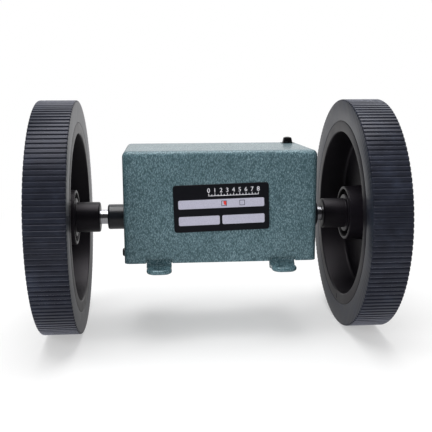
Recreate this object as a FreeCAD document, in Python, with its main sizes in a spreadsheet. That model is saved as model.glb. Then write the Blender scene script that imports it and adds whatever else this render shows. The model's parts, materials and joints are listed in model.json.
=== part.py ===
import FreeCAD, Part

import math
import os
import re

import Sketcher

# Two-wheeled cable length counter. Millimetres, +X along the wheel shaft, +Y from the nameplate
# side to the number window side, +Z up. The origin is the centre of the four foot holes, on the
# feet's underside.

# Sizes that can be set by themselves.
sizes = {
    # wheels
    "wheel_radius": 53.05,
    "wheel_width": 16.7,
    "tyre_thickness": 9.85,
    "rim_wall": 5.0,
    "web_thickness": 3.0,
    "dish_depth": 1.2,
    "hub_wall": 3.6,
    "hub_shoulder": 1.9,
    "groove_width": 2.4,
    "groove_depth": 2.6,
    "lip_width": 1.3,
    "hub_reach": 8.7,
    "hub_edge": 0.5,
    "seat_depth": 1.6,
    "left_wheel_gap": 20.2,
    "right_wheel_gap": 15.8,
    "rib_count": 140,
    "rib_depth": 0.45,
    "rib_share": 0.62,
    "rib_foot_share": 0.744,
    # main shaft and its bearings
    "shaft_radius": 3.3,
    "shaft_height": 20.6,
    "shaft_forward": 2.0,
    "shaft_short": 0.3,
    "ring_radius": 5.2,
    "ring_width": 0.8,
    "ring_groove": 0.3,
    "bush_wall": 1.2,
    "housing_wall": 1.25,
    "housing_edge": 0.8,
    "left_housing_reach": 8.0,
    "right_housing_reach": 4.5,
    "housing_flange": 2.75,
    "flange_thickness": 1.5,
    "spigot_step": 0.75,
    # wheel fastening
    "washer_radius": 5.8,
    "washer_gap": 0.4,
    "washer_thickness": 1.0,
    "wheel_screw_head": 3.5,
    "wheel_screw_head_height": 2.2,
    "wheel_screw_radius": 2.0,
    "wheel_screw_length": 8.0,
    "socket_radius": 1.4,
    "socket_depth": 1.2,
    # cover
    "cover_length": 84.6,
    "cover_depth": 48.0,
    "cover_height": 49.0,
    "cover_rise": 3.4,
    "cover_wall": 1.2,
    "cover_round": 2.5,
    "notch_height": 1.8,
    "notch_gap": 0.3,
    "cover_screw_y": 16.0,
    "cover_screw_rise": 3.6,
    # base with its four feet
    "base_thickness": 2.1,
    "tab_gap": 0.3,
    "tab_inset": 2.6,
    "foot_width": 11.0,
    "foot_spacing": 54.6,
    "foot_reach": 7.8,
    "foot_round": 4.0,
    "foot_hole_out": 4.1,
    "foot_hole_radius": 2.15,
    "bend_round": 0.9,
    # small screws
    "screw_radius": 1.25,
    "screw_head": 2.3,
    "screw_head_height": 1.3,
    # side plates and tie rods
    "plate_thickness": 1.6,
    "plate_front_gap": 2.8,
    "plate_back_gap": 1.8,
    "plate_top_gap": 0.9,
    "plate_corner": 9.5,
    "plate_foot": 9.0,
    "frame_screw_inset": 4.5,
    "frame_screw_y": 14.0,
    "rod_radius": 2.6,
    "rod_hole_depth": 7.0,
    "rod_inset": 3.6,
    "rod_gap": 0.9,
    "rod_drop": 10.6,
    # gears between the shaft and the first drum
    "gear_module": 0.6,
    "shaft_teeth": 20,
    "idler_wheel_teeth": 30,
    "idler_pinion_teeth": 15,
    "drum_gear_teeth": 30,
    "backlash": 0.12,
    "gear_width": 3.0,
    "gear_step": 0.4,
    "gear_hub": 5.0,
    "gear_hub_length": 4.0,
    "stud_radius": 1.5,
    "stud_collar": 3.0,
    "stud_collar_length": 2.8,
    "clip_radius": 3.0,
    "clip_width": 0.5,
    "clip_groove": 0.3,
    # number drums and carry pinions
    "drum_count": 5,
    "drum_pitch": 8.0,
    "drum_step": 0.22,
    "drum_view_gap": 0.68,
    "drum_shaft_radius": 1.5,
    "drum_hub": 4.0,
    "carry_module": 0.9,
    "carry_teeth": 20,
    "carry_pinion_teeth": 8,
    "carry_head": 0.8,
    "carry_width": 1.3,
    "lobe_width": 1.2,
    "lobe_height": 0.75,
    "lobe_gap": 0.33,
    "carry_backlash": 0.3,
    "carry_angle": -110.0,
    "pinion_shaft_radius": 1.0,
    "spacer_wall": 1.1,
    # number window
    "bezel_rim": 3.1,
    "bezel_thickness": 1.4,
    "bezel_round": 1.5,
    "view_margin": 0.3,
    "view_height": 8.6,
    "glass_edge": 0.8,
    "glass_thickness": 0.9,
    "neck_wall": 0.8,
    # nameplate
    "nameplate_width": 41.6,
    "nameplate_height": 20.6,
    "nameplate_thickness": 0.4,
    "nameplate_round": 1.2,
    "nameplate_z": 27.8,
    "nameplate_x": 0.1,
    "nameplate_tilt": 1.6,
    # zero reset
    "reset_gap": 1.0,
    "reset_idler_gap": 0.64,
    "reset_shaft_radius": 1.5,
    "comb_wall": 1.0,
    "finger_reach": 9.0,
    "finger_width": 1.6,
    "finger_thickness": 1.6,
    "finger_gap": 1.7,
    "lever_gap": 0.8,
    "lever_thickness": 1.2,
    "lever_height": 2.2,
    "lever_post": 4.0,
    "knob_back_gap": 5.3,
    "knob_shift": 0.7,
    "knob_width": 5.3,
    "knob_top_width": 3.7,
    "knob_depth": 4.8,
    "knob_height": 5.4,
    "knob_rise": 3.0,
    "knob_cap": 2.4,
    "slot_side_gap": 0.6,
    "slot_end_gap": 0.8,
    "spring_wire": 0.35,
    "spring_out": 7.5,
    "spring_length": 6.8,
    "spring_seat_thickness": 1.2,
    # clearances
    "press_gap": 0.02,
    "run_gap": 0.05,
    "small_gap": 0.1,
    "side_gap": 0.2,
    "drum_gap": 0.3,
}

# Places and sizes that follow from the sizes above.
places = {
    "shaft_y": "0 - shaft_forward",
    "half_length": "cover_length / 2",
    "half_depth": "cover_depth / 2",
    "cover_top": "cover_rise + cover_height",
    "inner_length": "half_length - cover_wall",
    "inner_depth": "half_depth - cover_wall",
    "base_length": "inner_length - side_gap",
    "base_depth": "inner_depth - side_gap",
    "base_top": "cover_rise + base_thickness",
    "plate_outside": "base_length - base_thickness - small_gap",
    "plate_inside": "plate_outside - plate_thickness",
    "plate_front": "inner_depth - plate_front_gap",
    "plate_back": "inner_depth - plate_back_gap",
    "plate_top": "cover_top - cover_wall - plate_top_gap",
    "bush_outside": "shaft_radius + bush_wall",
    "housing_outside": "bush_outside + housing_wall",
    "tab_top": "shaft_height - housing_outside - housing_flange - tab_gap",
    "rod_front": "plate_front - rod_inset",
    "rod_back": "plate_back - rod_inset",
    "rod_low": "tab_top + screw_head + rod_gap",
    "rod_high": "plate_top - rod_drop",
    "rim_outside": "wheel_radius - tyre_thickness",
    "rim_inside": "rim_outside - rim_wall",
    "hub_outside": "shaft_radius + hub_wall",
    "groove_inside": "hub_outside + hub_shoulder",
    "lip_inside": "groove_inside + groove_width",
    "boss_outside": "lip_inside + lip_width",
    "seat_radius": "washer_radius + washer_gap",
    "left_wheel_x": "0 - half_length - left_wheel_gap",
    "right_wheel_x": "half_length + right_wheel_gap",
    "shaft_inset": "wheel_width - seat_depth - shaft_short",
    "shaft_left_end": "left_wheel_x - shaft_inset",
    "shaft_right_end": "right_wheel_x + shaft_inset",
    "first_span": "gear_module * (shaft_teeth + idler_wheel_teeth) / 2",
    "second_span": "gear_module * (idler_pinion_teeth + drum_gear_teeth) / 2",
    "idler_tip": "gear_module * (idler_wheel_teeth / 2 + 1)",
    "drum_gear_tip": "gear_module * (drum_gear_teeth / 2 + 1)",
    "carry_tip": "carry_module * (carry_teeth / 2 + carry_head)",
    "pinion_tip": "carry_module * (carry_pinion_teeth / 2 + carry_head)",
    "drum_radius": "carry_tip - drum_step",
    "comb_radius": "reset_shaft_radius + comb_wall",
    "reset_z": "cover_top - cover_wall - comb_radius - reset_gap",
    "drum_drop": "max(drum_radius; drum_gear_tip - reset_gap)",
    "drum_y": "inner_depth - drum_view_gap - carry_tip",
    "drum_z": "reset_z - finger_thickness / 2 - finger_gap - drum_drop",
    "span_y": "drum_y - shaft_y",
    "span_z": "drum_z - shaft_height",
    "span": "sqrt(span_y * span_y + span_z * span_z)",
    "along": "(first_span * first_span - second_span * second_span + span * span) / (2 * span)",
    "aside": "sqrt(first_span * first_span - along * along)",
    "idler_y": "shaft_y + (along * span_y - aside * span_z) / span",
    "idler_z": "shaft_height + (along * span_z + aside * span_y) / span",
    "reset_off": "idler_tip + reset_shaft_radius + reset_idler_gap",
    "reset_up": "reset_z - idler_z",
    "reset_y": "idler_y + sqrt(max(0; reset_off * reset_off - reset_up * reset_up))",
    "carry_span": "carry_module * (carry_teeth + carry_pinion_teeth) / 2",
    "pinion_y": "drum_y + carry_span * cos(carry_angle)",
    "pinion_z": "drum_z + carry_span * sin(carry_angle)",
    "lobe_radius": "carry_span - pinion_tip - lobe_gap",
    "lobe_disc": "lobe_radius - lobe_height",
    "drums_half": "drum_count * drum_pitch / 2",
    "idler_left": "stud_collar_length + side_gap - plate_inside",
    "idler_step": "idler_left + gear_width",
    "drum_gear_left": "idler_step + gear_step + side_gap",
    "idler_right": "drum_gear_left + gear_width + gear_step",
    "clip_left": "idler_right + side_gap",
    "stud_end": "clip_left + clip_width + gear_step",
    "digit_width": "drum_pitch - drum_gap - carry_width - lobe_width",
    "view_width": "2 * (drums_half + view_margin)",
    "glass_width": "view_width + 2 * glass_edge",
    "glass_height": "view_height + 2 * glass_edge",
    "neck_width": "glass_width + 2 * neck_wall",
    "neck_height": "glass_height + 2 * neck_wall",
    "bezel_width": "neck_width + 2 * bezel_rim",
    "bezel_height": "neck_height + 2 * bezel_rim",
    "cover_screw_z": "cover_rise + cover_screw_rise",
    "lever_x": "plate_inside - lever_gap - lever_thickness / 2",
    "lever_left": "lever_x - lever_thickness / 2",
    "knob_x": "lever_x + knob_shift",
    "knob_y": "inner_depth - knob_back_gap",
    "knob_top": "cover_top + knob_rise",
    "knob_bottom": "knob_top - knob_height",
    "lever_under": "reset_z - lever_height / 2",
    "spring_y": "reset_y + spring_out",
    "spring_top": "lever_under - small_gap",
    "spring_seat_z": "spring_top - spring_length",
    "spring_radius": "lever_thickness / 2 + lever_gap - small_gap",
}

# How far a cutting shape runs past what it cuts.
past = 1.0

doc = FreeCAD.newDocument("cable_length_counter")


def fillSheet(name, entries, lead):
    sheet = doc.addObject("Spreadsheet::Sheet", name)
    for row, (alias, content) in enumerate(entries.items(), 1):
        sheet.set(f"A{row}", alias)
        sheet.set(f"B{row}", lead + bound(str(content), name))
        sheet.setAlias(f"B{row}", alias)
    return sheet


def bound(text, inside=""):
    """Writes each size's name in a formula as a reference to its cell."""
    def cell(word):
        name = word.group(0)
        if name in sizes:
            return "sizes." + name
        if name in places:
            return name if inside == "places" else "places." + name
        return name
    return re.sub(r"[a-z]\w*", cell, text)


sizeSheet = fillSheet("sizes", sizes, "")
placeSheet = fillSheet("places", places, "=")
doc.recompute()
nodes = []


def size(name):
    sheet = sizeSheet if name in sizes else placeSheet
    return float(getattr(sheet, name))


def bind(item, **formulas):
    for name, formula in formulas.items():
        item.setExpression(name, bound(str(formula)))
    return item


def place(item, x="0", y="0", z="0"):
    for letter, formula in zip("xyz", (x, y, z)):
        item.setExpression(f".Placement.Base.{letter}", bound(str(formula)))
    return item


def node(name, item):
    item.Label = name
    nodes.append(item)
    return item


# Round bar along X from one place to another.
def bar(name, radius, start, end, y="shaft_y", z="shaft_height"):
    item = doc.addObject("Part::Cylinder", name)
    item.Placement.Rotation = FreeCAD.Rotation(FreeCAD.Vector(0, 1, 0), 90)
    bind(item, Radius=radius, Height=f"({end}) - ({start})")
    return place(item, start, y, z)


# Upright round bar.
def post(name, radius, x, y, low, high):
    item = doc.addObject("Part::Cylinder", name)
    bind(item, Radius=radius, Height=f"({high}) - ({low})")
    return place(item, x, y, low)


def block(name, x, y, z):
    item = doc.addObject("Part::Box", name)
    for side, (low, high) in zip(("Length", "Width", "Height"), (x, y, z)):
        bind(item, **{side: f"({high}) - ({low})"})
    return place(item, x[0], y[0], z[0])


def fuse(name, pieces):
    item = doc.addObject("Part::MultiFuse", name)
    item.Shapes = pieces
    return item


def group(name, pieces):
    item = doc.addObject("Part::Compound", name)
    item.Links = pieces
    return item


def cut(name, base, tools):
    item = doc.addObject("Part::Cut", name)
    item.Base = base
    item.Tool = tools[0] if len(tools) == 1 else group(name + "_tools", tools)
    return item


def tube(name, outside, inside, start, end, y="shaft_y", z="shaft_height"):
    whole = bar(name + "_outside", outside, start, end, y, z)
    return cut(name, whole, [bar(name + "_bore", inside, start, end, y, z)])


def newBody(name):
    return doc.addObject("PartDesign::Body", name)


def newSketch(body, name, role, offset="0"):
    plane = next(item for item in body.Origin.OriginFeatures if item.Role == role)
    sketch = body.newObject("Sketcher::SketchObject", name)
    sketch.AttachmentSupport = [(plane, "")]
    sketch.MapMode = "FlatFace"
    sketch.setExpression(".AttachmentOffset.Base.z", bound(offset))
    return sketch


def fix(sketch, kind, geometry, point, guess, formula):
    number = sketch.addConstraint(Sketcher.Constraint(kind, -1, 1, geometry, point, guess))
    sketch.setExpression(f"Constraints[{number}]", bound(formula))


# Closed outline through corners, each a pair of formulas from the sketch's origin.
def drawOutline(sketch, corners):
    first = sketch.GeometryCount
    count = len(corners)
    turn = 2 * math.pi / count
    ring = [FreeCAD.Vector(math.cos(turn * step), math.sin(turn * step), 0) for step in range(count)]
    for step in range(count):
        sketch.addGeometry(Part.LineSegment(ring[step], ring[(step + 1) % count]))
    for step in range(count):
        after = first + (step + 1) % count
        sketch.addConstraint(Sketcher.Constraint("Coincident", first + step, 2, after, 1))
    for step, (across, up) in enumerate(corners):
        fix(sketch, "DistanceX", first + step, 1, ring[step].x, across)
        fix(sketch, "DistanceY", first + step, 1, ring[step].y, up)


def drawRectangle(sketch, left, right, low, high):
    drawOutline(sketch, [(left, low), (right, low), (right, high), (left, high)])


def drawCircle(sketch, across, up, radius):
    geometry = sketch.addGeometry(Part.Circle(FreeCAD.Vector(1, 1, 0), FreeCAD.Vector(0, 0, 1), 1))
    fix(sketch, "DistanceX", geometry, 3, 1, across)
    fix(sketch, "DistanceY", geometry, 3, 1, up)
    number = sketch.addConstraint(Sketcher.Constraint("Radius", geometry, 1))
    sketch.setExpression(f"Constraints[{number}]", bound(radius))


def pad(body, sketch, length, flip=False, middle=False):
    item = body.newObject("PartDesign::Pad", sketch.Name + "_pad")
    item.Profile = sketch
    item.Reversed = flip
    item.Midplane = middle
    return bind(item, Length=length)


# Cuts the outline out; the body must lose volume.
def pocket(body, sketch, length, flip=False, middle=False):
    doc.recompute()
    before = body.Shape.Volume
    item = body.newObject("PartDesign::Pocket", sketch.Name + "_pocket")
    item.Profile = sketch
    item.Reversed = flip
    item.Midplane = middle
    bind(item, Length=length)
    doc.recompute()
    if body.Shape.Volume > before - 1e-6:
        raise RuntimeError(f"{sketch.Name} cuts nothing")
    return item


def roundEdges(body, name, radius, wanted):
    doc.recompute()
    base = body.Tip
    edges = [f"Edge{number}" for number, edge in enumerate(base.Shape.Edges, 1) if wanted(edge)]
    item = body.newObject("PartDesign::Fillet", name)
    item.Base = (base, edges)
    bind(item, Radius=radius)
    doc.recompute()
    return item


def edgeRuns(edge, direction):
    if edge.Curve.TypeId != "Part::GeomLine":
        return False
    return abs(abs(edge.Curve.Direction.dot(direction)) - 1) < 1e-6


def near(first, second):
    return abs(first - second) < 1e-4


alongX = FreeCAD.Vector(1, 0, 0)
alongY = FreeCAD.Vector(0, 1, 0)
alongZ = FreeCAD.Vector(0, 0, 1)


# Toothed outline in the YZ plane with a tooth centred on the angle phase, measured from +Y to +Z.
def gearFace(teeth, module, thinning, phase, addendum=1.0):
    pressure = math.radians(20)
    pitchRadius = teeth * module / 2
    baseRadius = pitchRadius * math.cos(pressure)
    dedendum = 1.25
    tip = pitchRadius + addendum * module
    root = pitchRadius - dedendum * module
    halfPitchTooth = math.pi / (2 * teeth) - thinning / (2 * pitchRadius)

    def halfTooth(radius):
        angle = math.acos(min(1, baseRadius / radius))
        spread = math.tan(pressure) - pressure - math.tan(angle) + angle
        return halfPitchTooth + spread

    flank = [root, max(root, baseRadius), pitchRadius, (pitchRadius + tip) / 2, tip]
    points = []
    for tooth in range(teeth):
        centre = phase + 2 * math.pi * tooth / teeth
        points += [(centre - halfTooth(radius), radius) for radius in flank]
        points += [(centre + halfTooth(radius), radius) for radius in reversed(flank)]
    corners = []
    for angle, radius in points:
        corner = FreeCAD.Vector(0, radius * math.cos(angle), radius * math.sin(angle))
        if not corners or (corner - corners[-1]).Length > 1e-5:
            corners.append(corner)
    corners.append(corners[0])
    return Part.Face(Part.makePolygon(corners))


# Round slice along X in a gear's or drum's own frame.
def roundSlice(radius, left, right):
    return Part.makeCylinder(radius, right - left, FreeCAD.Vector(left, 0, 0), alongX)


def gearSlice(teeth, module, thinning, phase, left, right, addendum=1.0):
    face = gearFace(int(teeth), module, thinning, phase, addendum)
    face.translate(FreeCAD.Vector(left, 0, 0))
    return face.extrude(FreeCAD.Vector(right - left, 0, 0))


def feature(name, shape, y, z):
    item = doc.addObject("Part::Feature", name)
    item.Shape = shape
    return place(item, "0", y, z)


def lineAngle(fromY, fromZ, toY, toZ):
    return math.atan2(size(toZ) - size(fromZ), size(toY) - size(fromY))


def oppositeGap(angle, teeth):
    return angle + math.pi + math.pi / teeth


# One signed place for the left (-1) or right (1) side.
def sided(side, formula):
    return f"{side} * ({formula})"


def spanX(side, near, far):
    ends = (sided(side, near), sided(side, far))
    return ends if side > 0 else (ends[1], ends[0])


# Base: floor, end tabs and two cross strips, each bent down and out into a foot at both ends.
def makeBase():
    body = newBody("base")
    floor = newSketch(body, "base_floor", "XY_Plane", "cover_rise")
    drawRectangle(floor, "0 - base_length", "base_length", "0 - base_depth", "base_depth")
    pad(body, floor, "base_thickness")
    roundEdges(body, "floor_corners", "cover_round", lambda edge: edgeRuns(edge, alongZ))
    for side in (-1, 1):
        strip = newSketch(body, "base_strip", "YZ_Plane", sided(side, "foot_spacing / 2"))
        leg = "base_depth - base_thickness"
        reach = "half_depth + foot_reach"
        half = [
            (reach, "0"), (reach, "base_thickness"), ("base_depth", "base_thickness"),
            ("base_depth", "base_top"),
        ]
        back = [("0 - (" + across + ")", up) for across, up in reversed(half)]
        inner = [("0 - (" + leg + ")", "0"), ("0 - (" + leg + ")", "cover_rise")]
        outer = [(leg, "cover_rise"), (leg, "0")]
        drawOutline(strip, half + back + inner + outer)
        pad(body, strip, "foot_width", middle=True)
        tab = newSketch(body, "base_tab", "YZ_Plane", sided(side, "base_length"))
        wide = "cover_screw_y + tab_inset"
        drawRectangle(tab, f"0 - ({wide})", wide, "cover_rise", "tab_top")
        pad(body, tab, "base_thickness", flip=side > 0)
    tip = size("half_depth") + size("foot_reach")
    roundEdges(body, "foot_corners", "foot_round",
               lambda edge: edgeRuns(edge, alongZ) and near(abs(edge.CenterOfMass.y), tip))
    leg = size("base_depth")
    bend = size("base_thickness")
    inside = leg - bend
    roundEdges(body, "foot_bends", "bend_round",
               lambda edge: edgeRuns(edge, alongX)
               and (near(abs(edge.CenterOfMass.y), leg) and near(edge.CenterOfMass.z, bend)
                    or near(abs(edge.CenterOfMass.y), inside) and near(edge.CenterOfMass.z, 0)))
    holes = newSketch(body, "foot_holes", "XY_Plane")
    for across in ("0 - foot_spacing / 2", "foot_spacing / 2"):
        for up in ("0 - half_depth - foot_hole_out", "half_depth + foot_hole_out"):
            drawCircle(holes, across, up, "foot_hole_radius")
    pocket(body, holes, "base_thickness", flip=True)
    taps = newSketch(body, "frame_screw_holes", "XY_Plane", "cover_rise")
    for across in ("frame_screw_inset - plate_inside", "plate_inside - frame_screw_inset"):
        for up in ("0 - frame_screw_y", "frame_screw_y"):
            drawCircle(taps, across, up, "screw_radius + press_gap")
    pocket(body, taps, "base_thickness", flip=True)
    sides = newSketch(body, "cover_screw_taps", "YZ_Plane")
    for across in ("0 - cover_screw_y", "cover_screw_y"):
        drawCircle(sides, across, "cover_screw_z", "screw_radius + press_gap")
    pocket(body, sides, f"2 * base_length + {past}", middle=True)
    node("base", body)


# Cover: a folded box open below, with a window, two bearing holes, a lever slot and foot notches.
def makeCover():
    body = newBody("cover")
    outline = newSketch(body, "cover_outline", "XY_Plane", "cover_rise")
    drawRectangle(outline, "0 - half_length", "half_length", "0 - half_depth", "half_depth")
    pad(body, outline, "cover_height")
    low = size("cover_rise")
    roundEdges(body, "cover_rounds", "cover_round", lambda edge: edge.BoundBox.ZMax > low + 1e-3)
    base = body.Tip
    under = next(f"Face{number}" for number, face in enumerate(base.Shape.Faces, 1)
                 if near(face.BoundBox.ZMax, low))
    shell = body.newObject("PartDesign::Thickness", "cover_shell")
    shell.Base = (base, [under])
    shell.Reversed = True
    bind(shell, Value="cover_wall")
    window = newSketch(body, "window_cut", "XZ_Plane", "0 - inner_depth")
    wide = "neck_width / 2 + small_gap"
    tall = "neck_height / 2 + small_gap"
    drawRectangle(window, f"0 - ({wide})", wide, f"drum_z - ({tall})", f"drum_z + {tall}")
    pocket(body, window, "2 * cover_wall", middle=True)
    bearings = newSketch(body, "bearing_holes", "YZ_Plane")
    drawCircle(bearings, "shaft_y", "shaft_height", "housing_outside + small_gap")
    for across in ("0 - cover_screw_y", "cover_screw_y"):
        drawCircle(bearings, across, "cover_screw_z", "screw_radius + small_gap")
    pocket(body, bearings, f"cover_length + {past}", middle=True)
    slot = newSketch(body, "lever_slot", "XY_Plane", "cover_top - 2 * cover_wall")
    drawRectangle(slot, "knob_x - knob_width / 2 - slot_side_gap",
                  "knob_x + knob_width / 2 + slot_side_gap",
                  "knob_y - knob_depth / 2 - slot_end_gap", "knob_y + knob_depth / 2 + slot_end_gap")
    pocket(body, slot, "3 * cover_wall", flip=True)
    notches = newSketch(body, "foot_notches", "XZ_Plane")
    half = "foot_width / 2 + notch_gap"
    for middle in ("0 - foot_spacing / 2", "foot_spacing / 2"):
        drawRectangle(notches, f"{middle} - ({half})", f"{middle} + {half}",
                      f"cover_rise - {past}", "cover_rise + notch_height")
    pocket(body, notches, f"cover_depth + {past}", middle=True)
    node("cover", body)


# Pan-head screw along X; the head lies beyond the seat on the given side.
def sideScrew(name, side, seat, inner, y, z):
    start, end = spanX(side, inner, seat)
    shank = bar(name + "_shank", "screw_radius", start, end, y, z)
    start, end = spanX(side, seat, f"({seat}) + screw_head_height")
    head = bar(name + "_head", "screw_head", start, end, y, z)
    return fuse(name, [shank, head])


def makeCoverScrews():
    screws = []
    for side in (-1, 1):
        for edge in (-1, 1):
            inner = "base_length - base_thickness + small_gap"
            screws.append(sideScrew("cover_screw", side, "half_length", inner,
                                    sided(edge, "cover_screw_y"), "cover_screw_z"))
    node("cover_screws", group("cover_screw_group", screws))


def makeNameplate():
    body = newBody("nameplate")
    outline = newSketch(body, "nameplate_outline", "XZ_Plane")
    drawRectangle(outline, "0 - nameplate_width / 2", "nameplate_width / 2",
                  "0 - nameplate_height / 2", "nameplate_height / 2")
    pad(body, outline, "nameplate_thickness")
    roundEdges(body, "nameplate_corners", "nameplate_round", lambda edge: edgeRuns(edge, alongY))
    body.Placement.Rotation = FreeCAD.Rotation(FreeCAD.Vector(0, -1, 0), 1)
    body.setExpression(".Placement.Rotation.Angle", bound("nameplate_tilt"))
    place(body, "nameplate_x", "0 - half_depth", "nameplate_z")
    node("nameplate", body)


# Window frame: a face plate outside the cover and a neck through it that holds the pane.
def makeWindow():
    body = newBody("window_bezel")
    front = newSketch(body, "bezel_front", "XZ_Plane", "0 - half_depth")
    drawRectangle(front, "0 - bezel_width / 2", "bezel_width / 2",
                  "drum_z - bezel_height / 2", "drum_z + bezel_height / 2")
    pad(body, front, "bezel_thickness", flip=True)
    roundEdges(body, "bezel_corners", "bezel_round", lambda edge: edgeRuns(edge, alongY))
    neck = newSketch(body, "bezel_neck", "XZ_Plane", "0 - half_depth")
    drawRectangle(neck, "0 - neck_width / 2", "neck_width / 2",
                  "drum_z - neck_height / 2", "drum_z + neck_height / 2")
    pad(body, neck, "cover_wall")
    view = newSketch(body, "bezel_view", "XZ_Plane", "0 - half_depth")
    drawRectangle(view, "0 - view_width / 2", "view_width / 2",
                  "drum_z - view_height / 2", "drum_z + view_height / 2")
    pocket(body, view, "2 * (cover_wall + bezel_thickness)", middle=True)
    pane = newSketch(body, "bezel_pane_seat", "XZ_Plane", "0 - inner_depth")
    wide = "glass_width / 2 + press_gap"
    tall = "glass_height / 2 + press_gap"
    drawRectangle(pane, f"0 - ({wide})", wide, f"drum_z - ({tall})", f"drum_z + {tall}")
    pocket(body, pane, "glass_thickness + press_gap", flip=False)
    node("window_bezel", body)
    pane = block("window_pane", ("0 - glass_width / 2", "glass_width / 2"),
                 ("inner_depth", "inner_depth + glass_thickness"),
                 ("drum_z - glass_height / 2", "drum_z + glass_height / 2"))
    node("window_pane", pane)


# Side plate with its inward foot; the right one also carries the return spring's seat.
def makeSidePlate(name, side):
    body = newBody(name)
    sheet = newSketch(body, name + "_sheet", "YZ_Plane", sided(side, "plate_inside"))
    corner = "plate_top - plate_corner"
    drawOutline(sheet, [
        ("0 - plate_front", "base_top"), ("plate_back", "base_top"), ("plate_back", corner),
        ("plate_back - plate_corner", "plate_top"), ("plate_corner - plate_front", "plate_top"),
        ("0 - plate_front", corner)])
    drawCircle(sheet, "shaft_y", "shaft_height", "housing_outside - spigot_step + press_gap")
    drawCircle(sheet, "drum_y", "drum_z", "drum_shaft_radius + press_gap")
    drawCircle(sheet, "pinion_y", "pinion_z", "pinion_shaft_radius + press_gap")
    drawCircle(sheet, "reset_y", "reset_z", "reset_shaft_radius + run_gap")
    for y, z in tiePlaces:
        drawCircle(sheet, y, z, "screw_radius + press_gap")
    if side < 0:
        drawCircle(sheet, "idler_y", "idler_z", "stud_radius + press_gap")
    pad(body, sheet, "plate_thickness", flip=side < 0)
    foot = newSketch(body, name + "_foot", "YZ_Plane", sided(side, "plate_inside"))
    drawRectangle(foot, "0 - plate_front", "plate_back", "base_top", "base_top + plate_thickness")
    pad(body, foot, "plate_foot", flip=side > 0)
    if side > 0:
        seat = newSketch(body, name + "_spring_seat", "YZ_Plane", "plate_inside")
        drawRectangle(seat, "spring_y - spring_radius", "spring_y + spring_radius",
                      "spring_seat_z - spring_seat_thickness", "spring_seat_z")
        pad(body, seat, "plate_inside - lever_x + spring_radius", flip=True)
    holes = newSketch(body, name + "_foot_holes", "XY_Plane", "base_top")
    for y in ("0 - frame_screw_y", "frame_screw_y"):
        drawCircle(holes, sided(side, "plate_inside - frame_screw_inset"), y,
                   "screw_radius + small_gap")
    pocket(body, holes, "plate_thickness", flip=True)
    node(name, body)


tiePlaces = [
    ("0 - rod_front", "rod_low"),
    ("0 - rod_front", "rod_high"),
    ("rod_back", "rod_low"),
]


def makeTieRods():
    rods = []
    screws = []
    for y, z in tiePlaces:
        rod = bar("tie_rod_bar", "rod_radius", "0 - plate_inside", "plate_inside", y, z)
        holes = []
        for side in (-1, 1):
            start, end = spanX(side, "plate_inside - rod_hole_depth", "plate_inside")
            holes.append(bar("tie_rod_tap", "screw_radius + press_gap", start, end, y, z))
            inner = "plate_inside - rod_hole_depth + side_gap"
            screws.append(sideScrew("tie_screw", side, "plate_outside", inner, y, z))
        rods.append(cut("tie_rod", rod, holes))
    node("tie_rods", group("tie_rod_group", rods))
    node("tie_rod_screws", group("tie_screw_group", screws))


def makeFrameScrews():
    screws = []
    for side in (-1, 1):
        for edge in (-1, 1):
            x = sided(side, "plate_inside - frame_screw_inset")
            y = sided(edge, "frame_screw_y")
            seat = "base_top + plate_thickness"
            shank = post("frame_shank", "screw_radius", x, y, "cover_rise + small_gap", seat)
            head = post("frame_head", "screw_head", x, y, seat, f"{seat} + screw_head_height")
            screws.append(fuse("frame_screw", [shank, head]))
    node("frame_screws", group("frame_screw_group", screws))


# Flanged bearing housing through the cover, spigoted into the side plate, and its bush.
def makeBearing(name, side, reach):
    body = newBody(name + "_bearing_housing")
    sketch = newSketch(body, name + "_housing_profile", "XY_Plane")
    bore = "bush_outside + press_gap"
    spigot = "housing_outside - spigot_step"
    far = f"half_length + {reach}"
    drawOutline(sketch, [
        ("plate_inside", bore), ("plate_inside", spigot), ("plate_outside", spigot),
        ("plate_outside", "housing_outside + housing_flange"),
        ("plate_outside + flange_thickness", "housing_outside + housing_flange"),
        ("plate_outside + flange_thickness", "housing_outside"),
        (far, "housing_outside"), (far, bore)])
    turned = body.newObject("PartDesign::Revolution", name + "_housing_turned")
    turned.Profile = sketch
    turned.ReferenceAxis = (sketch, ["H_Axis"])
    turned.Angle = 360
    reachEnd = size("half_length") + size(reach)
    outside = size("housing_outside")
    roundEdges(body, name + "_housing_round", "housing_edge",
               lambda edge: edge.Curve.TypeId == "Part::GeomCircle"
               and near(edge.Curve.Radius, outside) and near(edge.CenterOfMass.x, reachEnd))
    turnToSide(body, side)
    place(body, "0", "shaft_y", "shaft_height")
    node(name + "_bearing_housing", body)
    start, end = spanX(side, "plate_inside", f"half_length + {reach} - side_gap")
    bush = tube(name + "_bush", "bush_outside", "shaft_radius + run_gap", start, end)
    node(name + "_bush", bush)


# A body drawn for the right side is turned half round about Z for the left side.
def turnToSide(body, side):
    if side < 0:
        body.Placement.Rotation = FreeCAD.Rotation(alongZ, 180)


def makeShaft():
    whole = bar("shaft_bar", "shaft_radius", "shaft_left_end", "shaft_right_end")
    cuts = []
    rings = []
    for side in (-1, 1):
        far = "shaft_right_end" if side > 0 else "0 - shaft_left_end"
        tap = f"{far} - wheel_screw_length - side_gap"
        start, end = spanX(side, tap, far)
        cuts.append(bar("shaft_tap", "wheel_screw_radius + press_gap", start, end))
        near, far = "plate_inside - side_gap - ring_width", "plate_inside - side_gap"
        start, end = spanX(side, near, far)
        cuts.append(tube("shaft_groove", f"shaft_radius + {past}", "shaft_radius - ring_groove", start, end))
        rings.append(tube("shaft_ring", "ring_radius", "shaft_radius - ring_groove", start, end))
    node("main_shaft", cut("main_shaft", whole, cuts))
    node("shaft_rings", group("shaft_ring_group", rings))


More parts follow.
